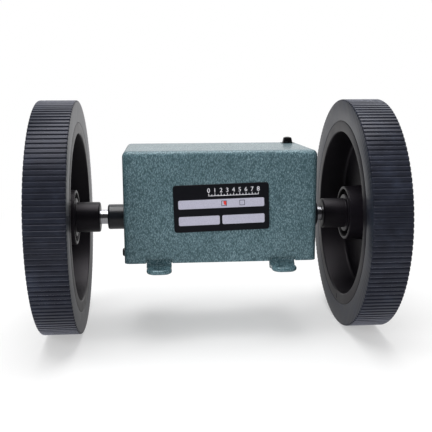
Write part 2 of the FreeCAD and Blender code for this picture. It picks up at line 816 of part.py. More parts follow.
# Moulded wheel centre: deep recess facing the cover, web on the outside, long hub with a lipped boss.
def makeWheel(name, side, face):
    body = newBody(name + "_wheel_core")
    sketch = newSketch(body, name + "_core_profile", "XY_Plane")
    bore = "shaft_radius + press_gap"
    outer = "wheel_width - dish_depth"
    web = "wheel_width - dish_depth - web_thickness"
    seat = "wheel_width - seat_depth"
    drawOutline(sketch, [
        ("0 - hub_reach", bore), ("0 - hub_reach", "hub_outside - hub_edge"),
        ("hub_edge - hub_reach", "hub_outside"), ("0", "hub_outside"), ("0", "groove_inside"),
        ("groove_depth", "groove_inside"), ("groove_depth", "lip_inside"), ("0", "lip_inside"),
        ("0", "boss_outside"), (web, "boss_outside"), (web, "rim_inside"), ("0", "rim_inside"),
        ("0", "rim_outside"), ("wheel_width", "rim_outside"), ("wheel_width", "rim_inside"),
        (outer, "rim_inside"), (outer, "boss_outside"), ("wheel_width", "boss_outside"),
        ("wheel_width", "seat_radius"), (seat, "seat_radius"), (seat, bore)])
    turned = body.newObject("PartDesign::Revolution", name + "_core_turned")
    turned.Profile = sketch
    turned.ReferenceAxis = (sketch, ["H_Axis"])
    turned.Angle = 360
    turnToSide(body, side)
    place(body, face, "shaft_y", "shaft_height")
    node(name + "_wheel_core", body)
    far = face + (" + " if side > 0 else " - ")
    tyre = doc.addObject("Part::Feature", name + "_tyre_ring")
    tyre.Shape = tyreShape()
    turnToSide(tyre, side)
    place(tyre, face, "shaft_y", "shaft_height")
    node(name + "_tyre", tyre)
    washer = tube(name + "_washer_disc", "washer_radius", "wheel_screw_radius + small_gap",
                  *ordered(side, far + f"({seat})", far + f"({seat} + washer_thickness)"))
    screwSeat = far + f"({seat} + washer_thickness)"
    shankEnd = far + f"({seat} - shaft_short - wheel_screw_length)"
    shank = bar(name + "_screw_shank", "wheel_screw_radius", *ordered(side, shankEnd, screwSeat))
    headEnd = far + f"({seat} + washer_thickness + wheel_screw_head_height)"
    head = bar(name + "_screw_head", "wheel_screw_head", *ordered(side, screwSeat, headEnd))
    socketEnd = far + f"({seat} + washer_thickness + wheel_screw_head_height - socket_depth)"
    socket = bar(name + "_screw_socket", "socket_radius", *ordered(side, socketEnd, headEnd))
    screw = cut(name + "_screw", fuse(name + "_screw_blank", [shank, head]), [socket])
    return washer, screw


def ordered(side, near, far):
    return (near, far) if side > 0 else (far, near)


# Tyre ring with straight ribs across its tread.
def tyreShape():
    count = int(size("rib_count"))
    outside = size("wheel_radius")
    valley = outside - size("rib_depth")
    turn = 2 * math.pi / count
    ridge = turn * size("rib_share") / 2
    foot = turn * size("rib_foot_share") / 2
    corners = []
    for rib in range(count):
        middle = turn * rib
        steps = [(middle - ridge, outside), (middle + ridge, outside),
                 (middle + foot, valley), (middle + turn - foot, valley)]
        corners += [FreeCAD.Vector(0, radius * math.cos(angle), radius * math.sin(angle))
                    for angle, radius in steps]
    corners.append(corners[0])
    tread = Part.Face(Part.makePolygon(corners)).extrude(FreeCAD.Vector(size("wheel_width"), 0, 0))
    return tread.cut(roundSlice(size("rim_outside"), -past, size("wheel_width") + past))


def makeWheels():
    leftWasher, leftScrew = makeWheel("left", -1, "left_wheel_x")
    rightWasher, rightScrew = makeWheel("right", 1, "right_wheel_x")
    node("wheel_washers", group("wheel_washer_group", [leftWasher, rightWasher]))
    node("wheel_screws", group("wheel_screw_group", [leftScrew, rightScrew]))


def makeShaftGear():
    angle = lineAngle("shaft_y", "shaft_height", "idler_y", "idler_z")
    left = size("idler_left")
    right = left + size("gear_width")
    hubEnd = right + size("gear_hub_length")
    shape = gearSlice(size("shaft_teeth"), size("gear_module"), size("backlash"), angle, left, right)
    shape = shape.fuse(roundSlice(size("gear_hub"), right, hubEnd))
    shape = shape.cut(roundSlice(size("shaft_radius") + size("press_gap"), left - past, hubEnd + past))
    middle = (right + hubEnd) / 2
    tap = Part.makeCylinder(size("screw_radius") + size("press_gap"), size("gear_hub") + past,
                            FreeCAD.Vector(middle, 0, 0), FreeCAD.Vector(0, 0, -1))
    node("shaft_gear", feature("shaft_gear_blank", shape.cut(tap), "shaft_y", "shaft_height"))
    screw = post("gear_set_screw", "screw_radius", "idler_step + gear_hub_length / 2", "shaft_y",
                 "shaft_height - gear_hub", "shaft_height - shaft_radius - press_gap")
    node("gear_set_screw", screw)


def makeIdler():
    inward = lineAngle("shaft_y", "shaft_height", "idler_y", "idler_z")
    onward = lineAngle("idler_y", "idler_z", "drum_y", "drum_z")
    left, step, right = size("idler_left"), size("idler_step"), size("idler_right")
    teeth = size("idler_wheel_teeth")
    shape = gearSlice(teeth, size("gear_module"), size("backlash"), oppositeGap(inward, teeth), left, step)
    shape = shape.fuse(gearSlice(size("idler_pinion_teeth"), size("gear_module"), size("backlash"),
                                 onward, step, right))
    shape = shape.cut(roundSlice(size("stud_radius") + size("run_gap"), left - past, right + past))
    node("idler_gear", feature("idler_gear_blank", shape, "idler_y", "idler_z"))
    collar = bar("stud_collar", "stud_collar", "0 - plate_inside", "idler_left - side_gap",
                 "idler_y", "idler_z")
    pin = bar("stud_pin", "stud_radius", "0 - plate_outside", "stud_end", "idler_y", "idler_z")
    clipEnd = "clip_left + clip_width"
    groove = tube("stud_groove", f"stud_radius + {past}", "stud_radius - clip_groove", "clip_left", clipEnd,
                  "idler_y", "idler_z")
    node("idler_stud", cut("idler_stud", fuse("stud_blank", [collar, pin]), [groove]))
    clip = tube("idler_clip", "clip_radius", "stud_radius - clip_groove", "clip_left", clipEnd,
                "idler_y", "idler_z")
    node("idler_clip", clip)


# Number drum: carry gear on its left, numbered ring, and the low carry lobes on its right.
def makeDrum(number):
    left = -size("drums_half") + (number - 1) * size("drum_pitch")
    ring = left + size("carry_width")
    lobes = ring + size("digit_width")
    right = lobes + size("lobe_width")
    angle = lineAngle("drum_y", "drum_z", "pinion_y", "pinion_z")
    shape = roundSlice(size("drum_radius"), ring, lobes).fuse(roundSlice(size("lobe_disc"), lobes, right))
    for turn in (0.5, -0.5):
        centre = angle + math.pi + turn * 2 * math.pi / size("carry_teeth")
        wide = size("lobe_width")
        lobe = Part.makeBox(wide, wide, size("lobe_radius"), FreeCAD.Vector(lobes, -wide / 2, 0))
        lobe.rotate(FreeCAD.Vector(0, 0, 0), alongX, math.degrees(centre) - 90)
        shape = shape.fuse(lobe)
    if number == 1:
        hubLeft = size("drum_gear_left")
        shape = shape.fuse(roundSlice(size("drum_hub"), hubLeft, ring))
    else:
        shape = shape.fuse(gearSlice(size("carry_teeth"), size("carry_module"), size("carry_backlash"),
                                     angle, left, ring, size("carry_head")))
        hubLeft = left
    shape = shape.cut(roundSlice(size("drum_shaft_radius") + size("run_gap"), hubLeft - past, right + past))
    name = f"number_drum_{number}"
    node(name, feature(name + "_turned", shape.removeSplitter(), "drum_y", "drum_z"))


def makeDrumGear():
    inward = lineAngle("idler_y", "idler_z", "drum_y", "drum_z")
    teeth = size("drum_gear_teeth")
    left = size("drum_gear_left")
    right = left + size("gear_width")
    shape = gearSlice(teeth, size("gear_module"), size("backlash"), oppositeGap(inward, teeth), left, right)
    shape = shape.cut(roundSlice(size("drum_hub") + size("press_gap"), left - past, right + past))
    node("drum_gear", feature("drum_gear_blank", shape, "drum_y", "drum_z"))


def makeCarryPinion(number):
    inward = lineAngle("drum_y", "drum_z", "pinion_y", "pinion_z")
    teeth = size("carry_pinion_teeth")
    gearLeft = -size("drums_half") + number * size("drum_pitch")
    left = gearLeft - size("drum_gap") - size("lobe_width") + size("side_gap")
    right = gearLeft + size("carry_width") - size("side_gap")
    shape = gearSlice(teeth, size("carry_module"), size("carry_backlash"), oppositeGap(inward, teeth),
                      left, right, size("carry_head"))
    shape = shape.cut(roundSlice(size("pinion_shaft_radius") + size("run_gap"), left - past, right + past))
    name = f"carry_pinion_{number}"
    node(name, feature(name + "_cut", shape, "pinion_y", "pinion_z"))


def makeDrumShafts():
    ends = ("0 - plate_outside", "plate_outside")
    node("drum_shaft", bar("drum_shaft", "drum_shaft_radius", *ends, "drum_y", "drum_z"))
    node("pinion_shaft", bar("pinion_shaft", "pinion_shaft_radius", *ends, "pinion_y", "pinion_z"))
    spans = [("0 - plate_inside", "drum_gear_left - side_gap"),
             ("drums_half - drum_gap + side_gap", "plate_inside")]
    sleeves = [tube("drum_spacer", "drum_shaft_radius + press_gap + spacer_wall",
                    "drum_shaft_radius + press_gap", start, end, "drum_y", "drum_z")
               for start, end in spans]
    node("drum_spacers", group("drum_spacer_group", sleeves))


# Zero reset: rocking shaft with five fingers over the drums, lever and knob out of the cover's top.
def makeReset():
    shaft = bar("reset_shaft_bar", "reset_shaft_radius", "0 - plate_outside", "plate_outside",
                "reset_y", "reset_z")
    grooves = []
    clips = []
    for side in (-1, 1):
        start, end = spanX(side, "plate_inside - side_gap - clip_width", "plate_inside - side_gap")
        axis = ("reset_y", "reset_z")
        grooves.append(tube("reset_groove", f"reset_shaft_radius + {past}",
                            "reset_shaft_radius - clip_groove", start, end, *axis))
        clips.append(tube("reset_clip", "clip_radius", "reset_shaft_radius - clip_groove",
                          start, end, *axis))
    node("reset_shaft", cut("reset_shaft", shaft, grooves))
    node("reset_clips", group("reset_clip_group", clips))

    half = "drums_half - drum_gap"
    sleeve = bar("comb_sleeve", "comb_radius", f"0 - ({half})", half, "reset_y", "reset_z")
    fingers = []
    for number in range(int(size("drum_count"))):
        middle = f"({number} + 0.5) * drum_pitch - drums_half"
        fingers.append(block("comb_finger", (f"{middle} - finger_width / 2", f"{middle} + finger_width / 2"),
                             ("reset_y", "reset_y + finger_reach"),
                             ("reset_z - finger_thickness / 2", "reset_z + finger_thickness / 2")))
    bore = bar("comb_bore", "reset_shaft_radius + press_gap", f"0 - ({half})", half, "reset_y", "reset_z")
    node("reset_comb", cut("reset_comb", fuse("comb_blank", [sleeve] + fingers), [bore]))

    body = newBody("reset_lever")
    outline = newSketch(body, "lever_outline", "YZ_Plane", "lever_left")
    low, high = "lever_under", "reset_z + lever_height / 2"
    near, far = "knob_y - lever_post / 2", "knob_y + lever_post / 2"
    tip = "knob_top - knob_cap"
    drawOutline(outline, [("reset_y", low), (far, low), (far, tip), (near, tip), (near, high),
                          ("reset_y", high)])
    pad(body, outline, "lever_thickness")
    eye = newSketch(body, "lever_eye", "YZ_Plane", "lever_left")
    drawCircle(eye, "reset_y", "reset_z", "comb_radius")
    pad(body, eye, "lever_thickness")
    hole = newSketch(body, "lever_hole", "YZ_Plane", "lever_x")
    drawCircle(hole, "reset_y", "reset_z", "reset_shaft_radius + press_gap")
    pocket(body, hole, "2 * lever_thickness", middle=True)
    node("reset_lever", body)
    makeKnob()

    ends = ("spring_seat_z", "spring_top")
    coil = post("spring_outside", "spring_radius", "lever_x", "spring_y", *ends)
    core = post("spring_inside", "spring_radius - spring_wire", "lever_x", "spring_y", *ends)
    spring = cut("reset_spring", coil, [core])
    node("reset_spring", spring)


def makeKnob():
    wedge = doc.addObject("Part::Wedge", "knob_wedge")
    bind(wedge, Xmin="0 - knob_width / 2", Xmax="knob_width / 2", X2min="0 - knob_top_width / 2",
         X2max="knob_top_width / 2", Zmin="0 - knob_depth / 2", Zmax="knob_depth / 2",
         Z2min="0 - knob_depth / 2 * knob_top_width / knob_width",
         Z2max="knob_depth / 2 * knob_top_width / knob_width", Ymin="0", Ymax="knob_height")
    wedge.Placement.Rotation = FreeCAD.Rotation(alongX, 90)
    place(wedge, "knob_x", "knob_y", "knob_bottom")
    thick = "lever_thickness / 2 + press_gap"
    deep = "lever_post / 2 + press_gap"
    socket = block("knob_socket", (f"lever_x - ({thick})", f"lever_x + {thick}"),
                   (f"knob_y - ({deep})", f"knob_y + {deep}"),
                   ("knob_bottom", "knob_top - knob_cap + press_gap"))
    node("reset_knob", cut("reset_knob", wedge, [socket]))


makeBase()
makeCover()
makeCoverScrews()
makeNameplate()
makeWindow()
makeSidePlate("left_side_plate", -1)
makeSidePlate("right_side_plate", 1)
makeTieRods()
makeFrameScrews()
makeBearing("left", -1, "left_housing_reach")
makeBearing("right", 1, "right_housing_reach")
makeShaft()
makeWheels()
makeShaftGear()
makeIdler()
makeDrumGear()
for drum in range(1, int(size("drum_count")) + 1):
    makeDrum(drum)
for pinion in range(1, int(size("drum_count"))):
    makeCarryPinion(pinion)
makeDrumShafts()
makeReset()
doc.recompute()

for item in doc.Objects:
    if "Invalid" in item.State or "Error" in item.State:
        raise RuntimeError(f"{item.Label} failed: {item.State}")
for item in nodes:
    if item.Shape.isNull() or not item.Shape.isValid():
        raise RuntimeError(f"{item.Label} has no valid shape")

os.makedirs("parts", exist_ok=True)
for item in nodes:
    item.Shape.exportStep(f"parts/{item.Label}.step")
    print(item.Label, len(item.Shape.Solids), round(item.Shape.Volume, 2))
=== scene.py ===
import bmesh
import bpy
import json
import math
from mathutils import Matrix, Vector


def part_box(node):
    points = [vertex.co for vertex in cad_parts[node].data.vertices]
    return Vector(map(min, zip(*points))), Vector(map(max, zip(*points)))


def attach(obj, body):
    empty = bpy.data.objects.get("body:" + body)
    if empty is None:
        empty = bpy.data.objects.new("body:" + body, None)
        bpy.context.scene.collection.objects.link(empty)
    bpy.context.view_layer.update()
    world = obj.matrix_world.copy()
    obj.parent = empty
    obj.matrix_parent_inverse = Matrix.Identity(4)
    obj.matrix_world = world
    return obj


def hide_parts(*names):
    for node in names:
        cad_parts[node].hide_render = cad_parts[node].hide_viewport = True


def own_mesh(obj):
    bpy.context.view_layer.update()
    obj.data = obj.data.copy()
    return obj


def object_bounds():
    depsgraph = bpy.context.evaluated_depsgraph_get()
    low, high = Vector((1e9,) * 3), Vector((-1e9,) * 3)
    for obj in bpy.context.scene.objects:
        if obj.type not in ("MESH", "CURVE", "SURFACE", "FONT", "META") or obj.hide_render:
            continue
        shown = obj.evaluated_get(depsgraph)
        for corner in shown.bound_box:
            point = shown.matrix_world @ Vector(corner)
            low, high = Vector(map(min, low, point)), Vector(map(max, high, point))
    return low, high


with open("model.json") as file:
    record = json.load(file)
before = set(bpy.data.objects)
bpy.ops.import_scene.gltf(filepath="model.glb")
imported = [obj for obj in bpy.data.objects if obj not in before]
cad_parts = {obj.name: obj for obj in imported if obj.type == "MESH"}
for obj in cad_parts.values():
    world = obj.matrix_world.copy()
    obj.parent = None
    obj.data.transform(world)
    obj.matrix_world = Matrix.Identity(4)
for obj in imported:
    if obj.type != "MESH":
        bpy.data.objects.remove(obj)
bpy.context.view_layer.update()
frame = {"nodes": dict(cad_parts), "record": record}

# Cable length counter: hammered enamel box between two ribbed rubber wheels on one shaft.
mm = 0.001
record = frame["record"]
print("stage: frame loaded,", len(frame["nodes"]), "nodes")


def addObject(name, data):
    item = bpy.data.objects.new(name, data)
    bpy.context.scene.collection.objects.link(item)
    return item


# Camera, as fitted to the photograph's 432 x 432 pixels
cameraFit = {
    "place": (-26.316, -314.370, 77.185),  # mm, in the part's frame
    "pitch": 0.18037,
    "yaw": -0.08252,
    "roll": 0.00295,
    "focalPixels": 681.17,
    "imagePixels": 432,
    "sensor": 36.0,
}


def makeCamera():
    pitch, yaw, roll = cameraFit["pitch"], cameraFit["yaw"], cameraFit["roll"]
    ahead = Vector((-math.cos(pitch) * math.sin(yaw), math.cos(pitch) * math.cos(yaw), -math.sin(pitch)))
    level = Vector((math.cos(yaw), math.sin(yaw), 0))
    upright = level.cross(ahead)
    right = level * math.cos(roll) - upright * math.sin(roll)
    up = level * math.sin(roll) + upright * math.cos(roll)
    lens = bpy.data.cameras.new("photo_camera")
    lens.sensor_width = cameraFit["sensor"]
    lens.lens = cameraFit["sensor"] * cameraFit["focalPixels"] / cameraFit["imagePixels"]
    lens.clip_start = 0.01
    camera = addObject("photo_camera", lens)
    turned = Matrix((right, up, -ahead)).transposed().to_4x4()
    camera.matrix_world = Matrix.Translation(Vector(cameraFit["place"]) * mm) @ turned
    bpy.context.scene.camera = camera


makeCamera()
print("stage: camera")


# Nodes and colours
def toLinear(code):
    channels = [int(code[start:start + 2], 16) / 255 for start in (1, 3, 5)]
    return tuple(c / 12.92 if c <= 0.04045 else ((c + 0.055) / 1.055) ** 2.4 for c in channels) + (1.0,)


# A source is a socket, or a node whose first output is meant.
def link(tree, source, node, socket):
    tree.links.new(getattr(source, "outputs", (source,))[0], node.inputs[socket])


def addNode(tree, kind, settings=None, links=None):
    node = tree.nodes.new("ShaderNode" + kind)
    for name, value in (settings or {}).items():
        if name == "stops":
            ramp = node.color_ramp.elements
            while len(ramp) < len(value):
                ramp.new(0.5)
            for element, (place, code) in zip(ramp, value):
                element.position = place
                element.color = toLinear(code)
        elif isinstance(name, int) or name in node.inputs:
            node.inputs[name].default_value = value
        else:
            setattr(node, name, value)
    for name, source in (links or {}).items():
        link(tree, source, node, name)
    return node


def startMaterial(name, colour, settings):
    material = bpy.data.materials.new(name)
    material.use_nodes = True
    tree = material.node_tree
    shader = tree.nodes["Principled BSDF"]
    shader.inputs["Base Color"].default_value = toLinear(colour)
    for socket, value in settings.items():
        shader.inputs[socket].default_value = value
    return material, tree, addNode(tree, "TexCoord").outputs["Object"]


# Colour, a bump from height and, where it varies, roughness go into the shader.
def finishMaterial(material, tone, height, strength, relief, roughness=None):
    tree = material.node_tree
    bump = addNode(tree, "Bump", {"Strength": strength, "Distance": relief}, {"Height": height})
    for source, socket in ((tone, "Base Color"), (bump, "Normal"), (roughness, "Roughness")):
        if source is not None:
            link(tree, source, tree.nodes["Principled BSDF"], socket)
    return material


# Hammered enamel, sprayed: aluminium flake draws it into small upright cells, so the eye gets a fine
# mottle of light and dark flecks, and broken glints along every edge.
enamelLook = {
    "cell": (0.42 * mm, 0.42 * mm, 0.95 * mm),
    "wander": 1.6 * mm,  # distance over which the cells drift
    "lean": 0.45 * mm,
    "fleck": 0.2 * mm,
    "patch": 18 * mm,
    "dark": "#3f5960",
    "middle": "#5c7881",
    "light": "#8ba5ac",
}


def hammeredEnamel(name, relief, roughness):
    look = enamelLook
    material, tree, place = startMaterial(name, look["middle"], {
        "Metallic": 0.2, "Roughness": roughness, "Coat Weight": 0.25, "Coat Roughness": 0.1})
    drift = addNode(tree, "TexNoise", {"Scale": 1 / look["wander"], "Detail": 1.0}, {"Vector": place})
    centred = addNode(tree, "VectorMath", {"operation": "SUBTRACT", 1: (0.5, 0.5, 0.5)},
                      {0: drift.outputs["Color"]})
    moved = addNode(tree, "VectorMath", {"operation": "MULTIPLY_ADD", 1: (2 * look["lean"],) * 3},
                    {0: centred, 2: place})
    upright = addNode(tree, "VectorMath", {"operation": "DIVIDE", 1: look["cell"]}, {0: moved})
    cells = addNode(tree, "TexVoronoi", {"feature": "SMOOTH_F1", "Scale": 1.0, "Smoothness": 0.6},
                    {"Vector": upright})
    flecks = addNode(tree, "TexNoise", {"Scale": look["cell"][0] / look["fleck"], "Detail": 2.0,
                                        "Roughness": 0.6}, {"Vector": upright})
    height = addNode(tree, "Math", {"operation": "MULTIPLY_ADD", 1: -0.9}, {0: cells, 2: flecks})
    patches = addNode(tree, "TexNoise", {"Scale": 1 / look["patch"], "Detail": 1.0}, {"Vector": place})
    mottle = addNode(tree, "Math", {"operation": "MULTIPLY_ADD", 1: 0.2}, {0: patches, 2: height})
    tone = addNode(tree, "ValToRGB", {"stops": [(0.0, look["dark"]), (0.25, look["middle"]),
                                                (0.55, look["light"])]}, {"Fac": mottle})
    gloss = addNode(tree, "MapRange", {"From Min": 0.0, "From Max": 0.5, "To Min": roughness * 1.25,
                                       "To Max": roughness * 0.8}, {"Value": height})
    return finishMaterial(material, tone, height, 1.0, relief, gloss)


# Enamel on turned steel, smooth: dark green-black with a faint orange peel that softens its highlights.
def blackEnamel():
    material, tree, place = startMaterial("black_enamel", "#1b2027", {
        "Roughness": 0.34, "Specular IOR Level": 0.5, "Coat Weight": 0.3, "Coat Roughness": 0.18})
    peel = addNode(tree, "TexNoise", {"Scale": 1 / (1.4 * mm), "Detail": 2.0}, {"Vector": place})
    tone = addNode(tree, "ValToRGB", {"stops": [(0.3, "#161a20"), (0.75, "#20262e")]}, {"Fac": peel})
    return finishMaterial(material, tone, peel, 0.6, 0.03 * mm)


# Worked metal: lines from its tool run round the X axis and draw highlights into bands. Where along is
# even, it has grain instead, from plating, hardening or sintering, and highlights stay soft and round.
def workedMetal(name, colour, shade, roughness, pitch, relief, along=(1, 0.02, 0.02)):
    material, tree, place = startMaterial(name, colour, {"Metallic": 1.0, "Roughness": roughness})
    stretch = addNode(tree, "VectorMath", {"operation": "MULTIPLY", 1: along}, {0: place})
    lines = addNode(tree, "TexNoise", {"Scale": 1 / pitch, "Detail": 3.0, "Roughness": 0.6},
                    {"Vector": stretch})
    tone = addNode(tree, "ValToRGB", {"stops": [(0.3, shade), (0.65, colour)]}, {"Fac": lines})
    gloss = addNode(tree, "MapRange", {"To Min": roughness * 0.7, "To Max": roughness * 1.35},
                    {"Value": lines})
    return finishMaterial(material, tone, lines, 0.5, relief, gloss)


# Moulded plastic: satin from the mould's texture, with slow flow marks that show as uneven gloss.
def mouldedPlastic(name, colour, shade, roughness, flow, texture, tint="#ffffff"):
    material, tree, place = startMaterial(name, colour, {
        "Roughness": roughness, "Specular IOR Level": 0.25, "Specular Tint": toLinear(tint)})
    marks = addNode(tree, "TexNoise", {"Scale": 1 / flow, "Detail": 3.0, "Distortion": 0.6},
                    {"Vector": place})
    grain = addNode(tree, "TexNoise", {"Scale": 1 / texture, "Detail": 2.0}, {"Vector": place})
    tone = addNode(tree, "ValToRGB", {"stops": [(0.35, shade), (0.7, colour)]}, {"Fac": marks})
    gloss = addNode(tree, "MapRange", {"To Min": roughness * 0.75, "To Max": roughness * 1.3},
                    {"Value": marks})
    return finishMaterial(material, tone, grain, 0.35, 0.02 * mm, gloss)


# Vulcanised rubber: bluish black and matt, with a dusty bloom that is paler where it gathers.
# The ground ribs hold more of that dust, which lightens them where the eye meets them at a slant.
def tyreRubber(name, dust):
    material, tree, place = startMaterial(name, "#171a24", {
        "Roughness": 0.34, "Specular IOR Level": 0.32, "Specular Tint": toLinear("#f0f0ff"),
        "Sheen Weight": dust, "Sheen Roughness": 0.35, "Sheen Tint": toLinear("#e4e8ff")})
    bloom = addNode(tree, "TexNoise", {"Scale": 1 / (9 * mm), "Detail": 5.0, "Roughness": 0.65},
                    {"Vector": place})
    grain = addNode(tree, "TexNoise", {"Scale": 1 / (0.35 * mm), "Detail": 2.0}, {"Vector": place})
    tone = addNode(tree, "ValToRGB", {"stops": [(0.32, "#171921"), (0.55, "#1e212b"), (0.78, "#2b303d")]},
                   {"Fac": bloom})
    gloss = addNode(tree, "MapRange", {"To Min": 0.28, "To Max": 0.42}, {"Value": bloom})
    return finishMaterial(material, tone, grain, 0.5, 0.03 * mm, gloss)


# Lacquered print on sheet: an even colour with the faint tooth of screen-printed ink.
def printedInk(name, colour, shade, roughness=0.4):
    material, tree, place = startMaterial(name, colour, {"Roughness": roughness, "Specular IOR Level": 0.3})
    tooth = addNode(tree, "TexNoise", {"Scale": 1 / (0.5 * mm), "Detail": 3.0}, {"Vector": place})
    tone = addNode(tree, "ValToRGB", {"stops": [(0.3, shade), (0.7, colour)]}, {"Fac": tooth})
    return finishMaterial(material, tone, tooth, 0.3, 0.01 * mm)


# Cast acrylic: clear, with hairline marks from wiping in its gloss.
def clearAcrylic():
    material, tree, place = startMaterial("clear_acrylic", "#f4f8f7", {
        "Roughness": 0.03, "IOR": 1.49, "Transmission Weight": 1.0})
    stretch = addNode(tree, "VectorMath", {"operation": "MULTIPLY", 1: (0.15, 1, 1)}, {0: place})
    wipes = addNode(tree, "TexNoise", {"Scale": 1 / (0.6 * mm), "Detail": 4.0}, {"Vector": stretch})
    gloss = addNode(tree, "MapRange", {"From Min": 0.45, "From Max": 0.8, "To Min": 0.02, "To Max": 0.12},
                    {"Value": wipes})
    link(tree, gloss, tree.nodes["Principled BSDF"], "Roughness")
    return material


even = (1, 1, 1)  # grain without a direction
finishes = {
    "hammertone_paint": hammeredEnamel("hammered_enamel", 0.14 * mm, 0.3),
    "black_steel": blackEnamel(),
    "ground_steel": workedMetal("ground_steel", "#d6d6da", "#a9a9b0", 0.2, 0.12 * mm, 0.004 * mm),
    "zinc_steel": workedMetal("zinc_plated_steel", "#b9bcc0", "#989ba1", 0.34, 0.5 * mm, 0.006 * mm, even),
    "spring_steel": workedMetal("spring_steel", "#8f9196", "#6e7076", 0.3, 0.3 * mm, 0.004 * mm, even),
    "sintered_bronze": workedMetal("sintered_bronze", "#b08a55", "#86663a", 0.42, 0.25 * mm, 0.01 * mm, even),
    "gear_brass": workedMetal("cut_brass", "#c9a659", "#a48340", 0.28, 0.15 * mm, 0.005 * mm),
    "moulded_core": mouldedPlastic("moulded_nylon", "#1b181d", "#131116", 0.38, 16 * mm, 0.3 * mm, "#f4ecf4"),
    "tyre_rubber": tyreRubber("tyre_rubber", 0.0),
    "black_plate": printedInk("black_lacquer", "#101118", "#0c0d13", 0.36),
    "black_plastic": mouldedPlastic("moulded_abs", "#131315", "#0c0c0e", 0.38, 8 * mm, 0.25 * mm),
    "clear_pane": clearAcrylic(),
    "drum_plastic": mouldedPlastic("drum_abs", "#141416", "#0d0d0f", 0.3, 6 * mm, 0.25 * mm),
    "pinion_plastic": mouldedPlastic("moulded_acetal", "#e6e2d6", "#d6d1c2", 0.32, 3 * mm, 0.2 * mm),
}
paleInk = printedInk("pale_grey_ink", "#b4b3c3", "#a5a4b5")
whiteInk = printedInk("white_ink", "#e4e4ea", "#d2d2da")
darkInk = printedInk("dark_grey_ink", "#3a3945", "#32313c")
redInk = printedInk("red_ink", "#dc3b36", "#c93029")
dustyTread = tyreRubber("dusty_tread_rubber", 0.6)
bentEnamel = hammeredEnamel("hammered_enamel_on_feet", 0.02 * mm, 0.2)
print("stage: materials,", len(bpy.data.materials))


# Meshes
def toObject(name, bm):
    bmesh.ops.remove_doubles(bm, verts=bm.verts, dist=1e-7)
    bmesh.ops.recalc_face_normals(bm, faces=bm.faces)
    mesh = bpy.data.meshes.new(name)
    bm.to_mesh(mesh)
    bm.free()
    return addObject(name, mesh)


def evaluated(item):
    bpy.context.view_layer.update()
    return bpy.data.meshes.new_from_object(item.evaluated_get(bpy.context.evaluated_depsgraph_get()))


def curveMesh(curve):
    item = addObject(curve.name, curve)
    mesh = evaluated(item)
    bpy.data.objects.remove(item)
    return mesh


def applied(item):
    mesh = evaluated(item)
    item.modifiers.clear()
    item.data = mesh
    return item


def smooth(item, angle=35):
    item.data.polygons.foreach_set("use_smooth", [True] * len(item.data.polygons))
    item.data.set_sharp_from_angle(angle=math.radians(angle))
    return item


# Narrow rounds on every sharp edge, and normals that keep the flats flat.
def soften(item, width, steps=2, angle=40):
    smooth(item, angle)
    bevel = item.modifiers.new("edges", "BEVEL")
    bevel.width = width
    bevel.segments = steps
    bevel.limit_method = "ANGLE"
    bevel.angle_limit = math.radians(angle)
    bevel.use_clamp_overlap = True
    applied(item)
    smooth(item, 50)
    weighted = item.modifiers.new("normals", "WEIGHTED_NORMAL")
    weighted.keep_sharp = True
    return applied(item)


def combine(item, tools, how="DIFFERENCE"):
    for tool in tools:
        step = item.modifiers.new("combine", "BOOLEAN")
        step.operation = how
        step.solver = "EXACT"
        step.object = tool
    applied(item)
    for tool in tools:
        bpy.data.objects.remove(tool)
    return item


def dress(item, body, slot, material=None, replaced=()):
    item.data.materials.clear()
    item.data.materials.append(material or finishes[slot])
    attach(item, body)
    if replaced:
        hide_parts(*replaced)
    return item


# Outline with its corners, (across, up, round), turned into arcs.
def arcs(corners, steps=6):
    outline = []
    for index, (across, up, radius) in enumerate(corners):
        here = Vector((across, up))
        if not radius:
            outline.append(here)
            continue
        back = (Vector(corners[index - 1][:2]) - here).normalized()
        ahead = (Vector(corners[(index + 1) % len(corners)][:2]) - here).normalized()
        half = back.angle(ahead) / 2
        centre = here + (back + ahead).normalized() * (radius / math.sin(half))
        first = here + back * (radius / math.tan(half)) - centre
        last = here + ahead * (radius / math.tan(half)) - centre
        turn = first.angle_signed(last)
        for step in range(steps + 1):
            outline.append(centre + Matrix.Rotation(-turn * step / steps, 2) @ first)
    return outline


def rectangle(wide, tall, radius, centre=(0, 0)):
    left, right = centre[0] - wide / 2, centre[0] + wide / 2
    low, high = centre[1] - tall / 2, centre[1] + tall / 2
    return arcs([(left, low, radius), (right, low, radius), (right, high, radius), (left, high, radius)])


# Faces between two rings of as many points.
def bridge(bm, here, there):
    for index in range(len(here)):
        after = (index + 1) % len(here)
        bm.faces.new((here[index], here[after], there[after], there[index]))


# Prism of an outline, its two coordinates and depth laid on the axes that order names.
def prism(name, outline, near, far, order="xzy"):
    bm = bmesh.new()
    ends = []
    for depth in (near, far):
        verts = []
        for across, up in outline:
            at = dict(zip(order, (across, up, depth)))
            verts.append(bm.verts.new((at["x"], at["y"], at["z"])))
        ends.append(verts)
    bm.faces.new(ends[0])
    bm.faces.new(ends[1])
    bridge(bm, ends[0], ends[1])
    return toObject(name, bm)


def block(name, low, high):
    outline = [(low[0], low[1]), (high[0], low[1]), (high[0], high[1]), (low[0], high[1])]
    return prism(name, outline, low[2], high[2], "xyz")


# Closed outline of (x, radius) turned about a line along X through centre (y, z).
def lathe(name, outline, centre, steps=160, shape=None):
    bm = bmesh.new()
    rings = []
    for step in range(steps):
        angle = 2 * math.pi * step / steps
        ring = []
        for x, radius in outline:
            reach = shape(x, radius, angle) if shape else radius
            ring.append(bm.verts.new((x, centre[0] + reach * math.cos(angle),
                                      centre[1] + reach * math.sin(angle))))
        rings.append(ring)
    for step in range(steps):
        bridge(bm, rings[step], rings[(step + 1) % steps])
    return toObject(name, bm)


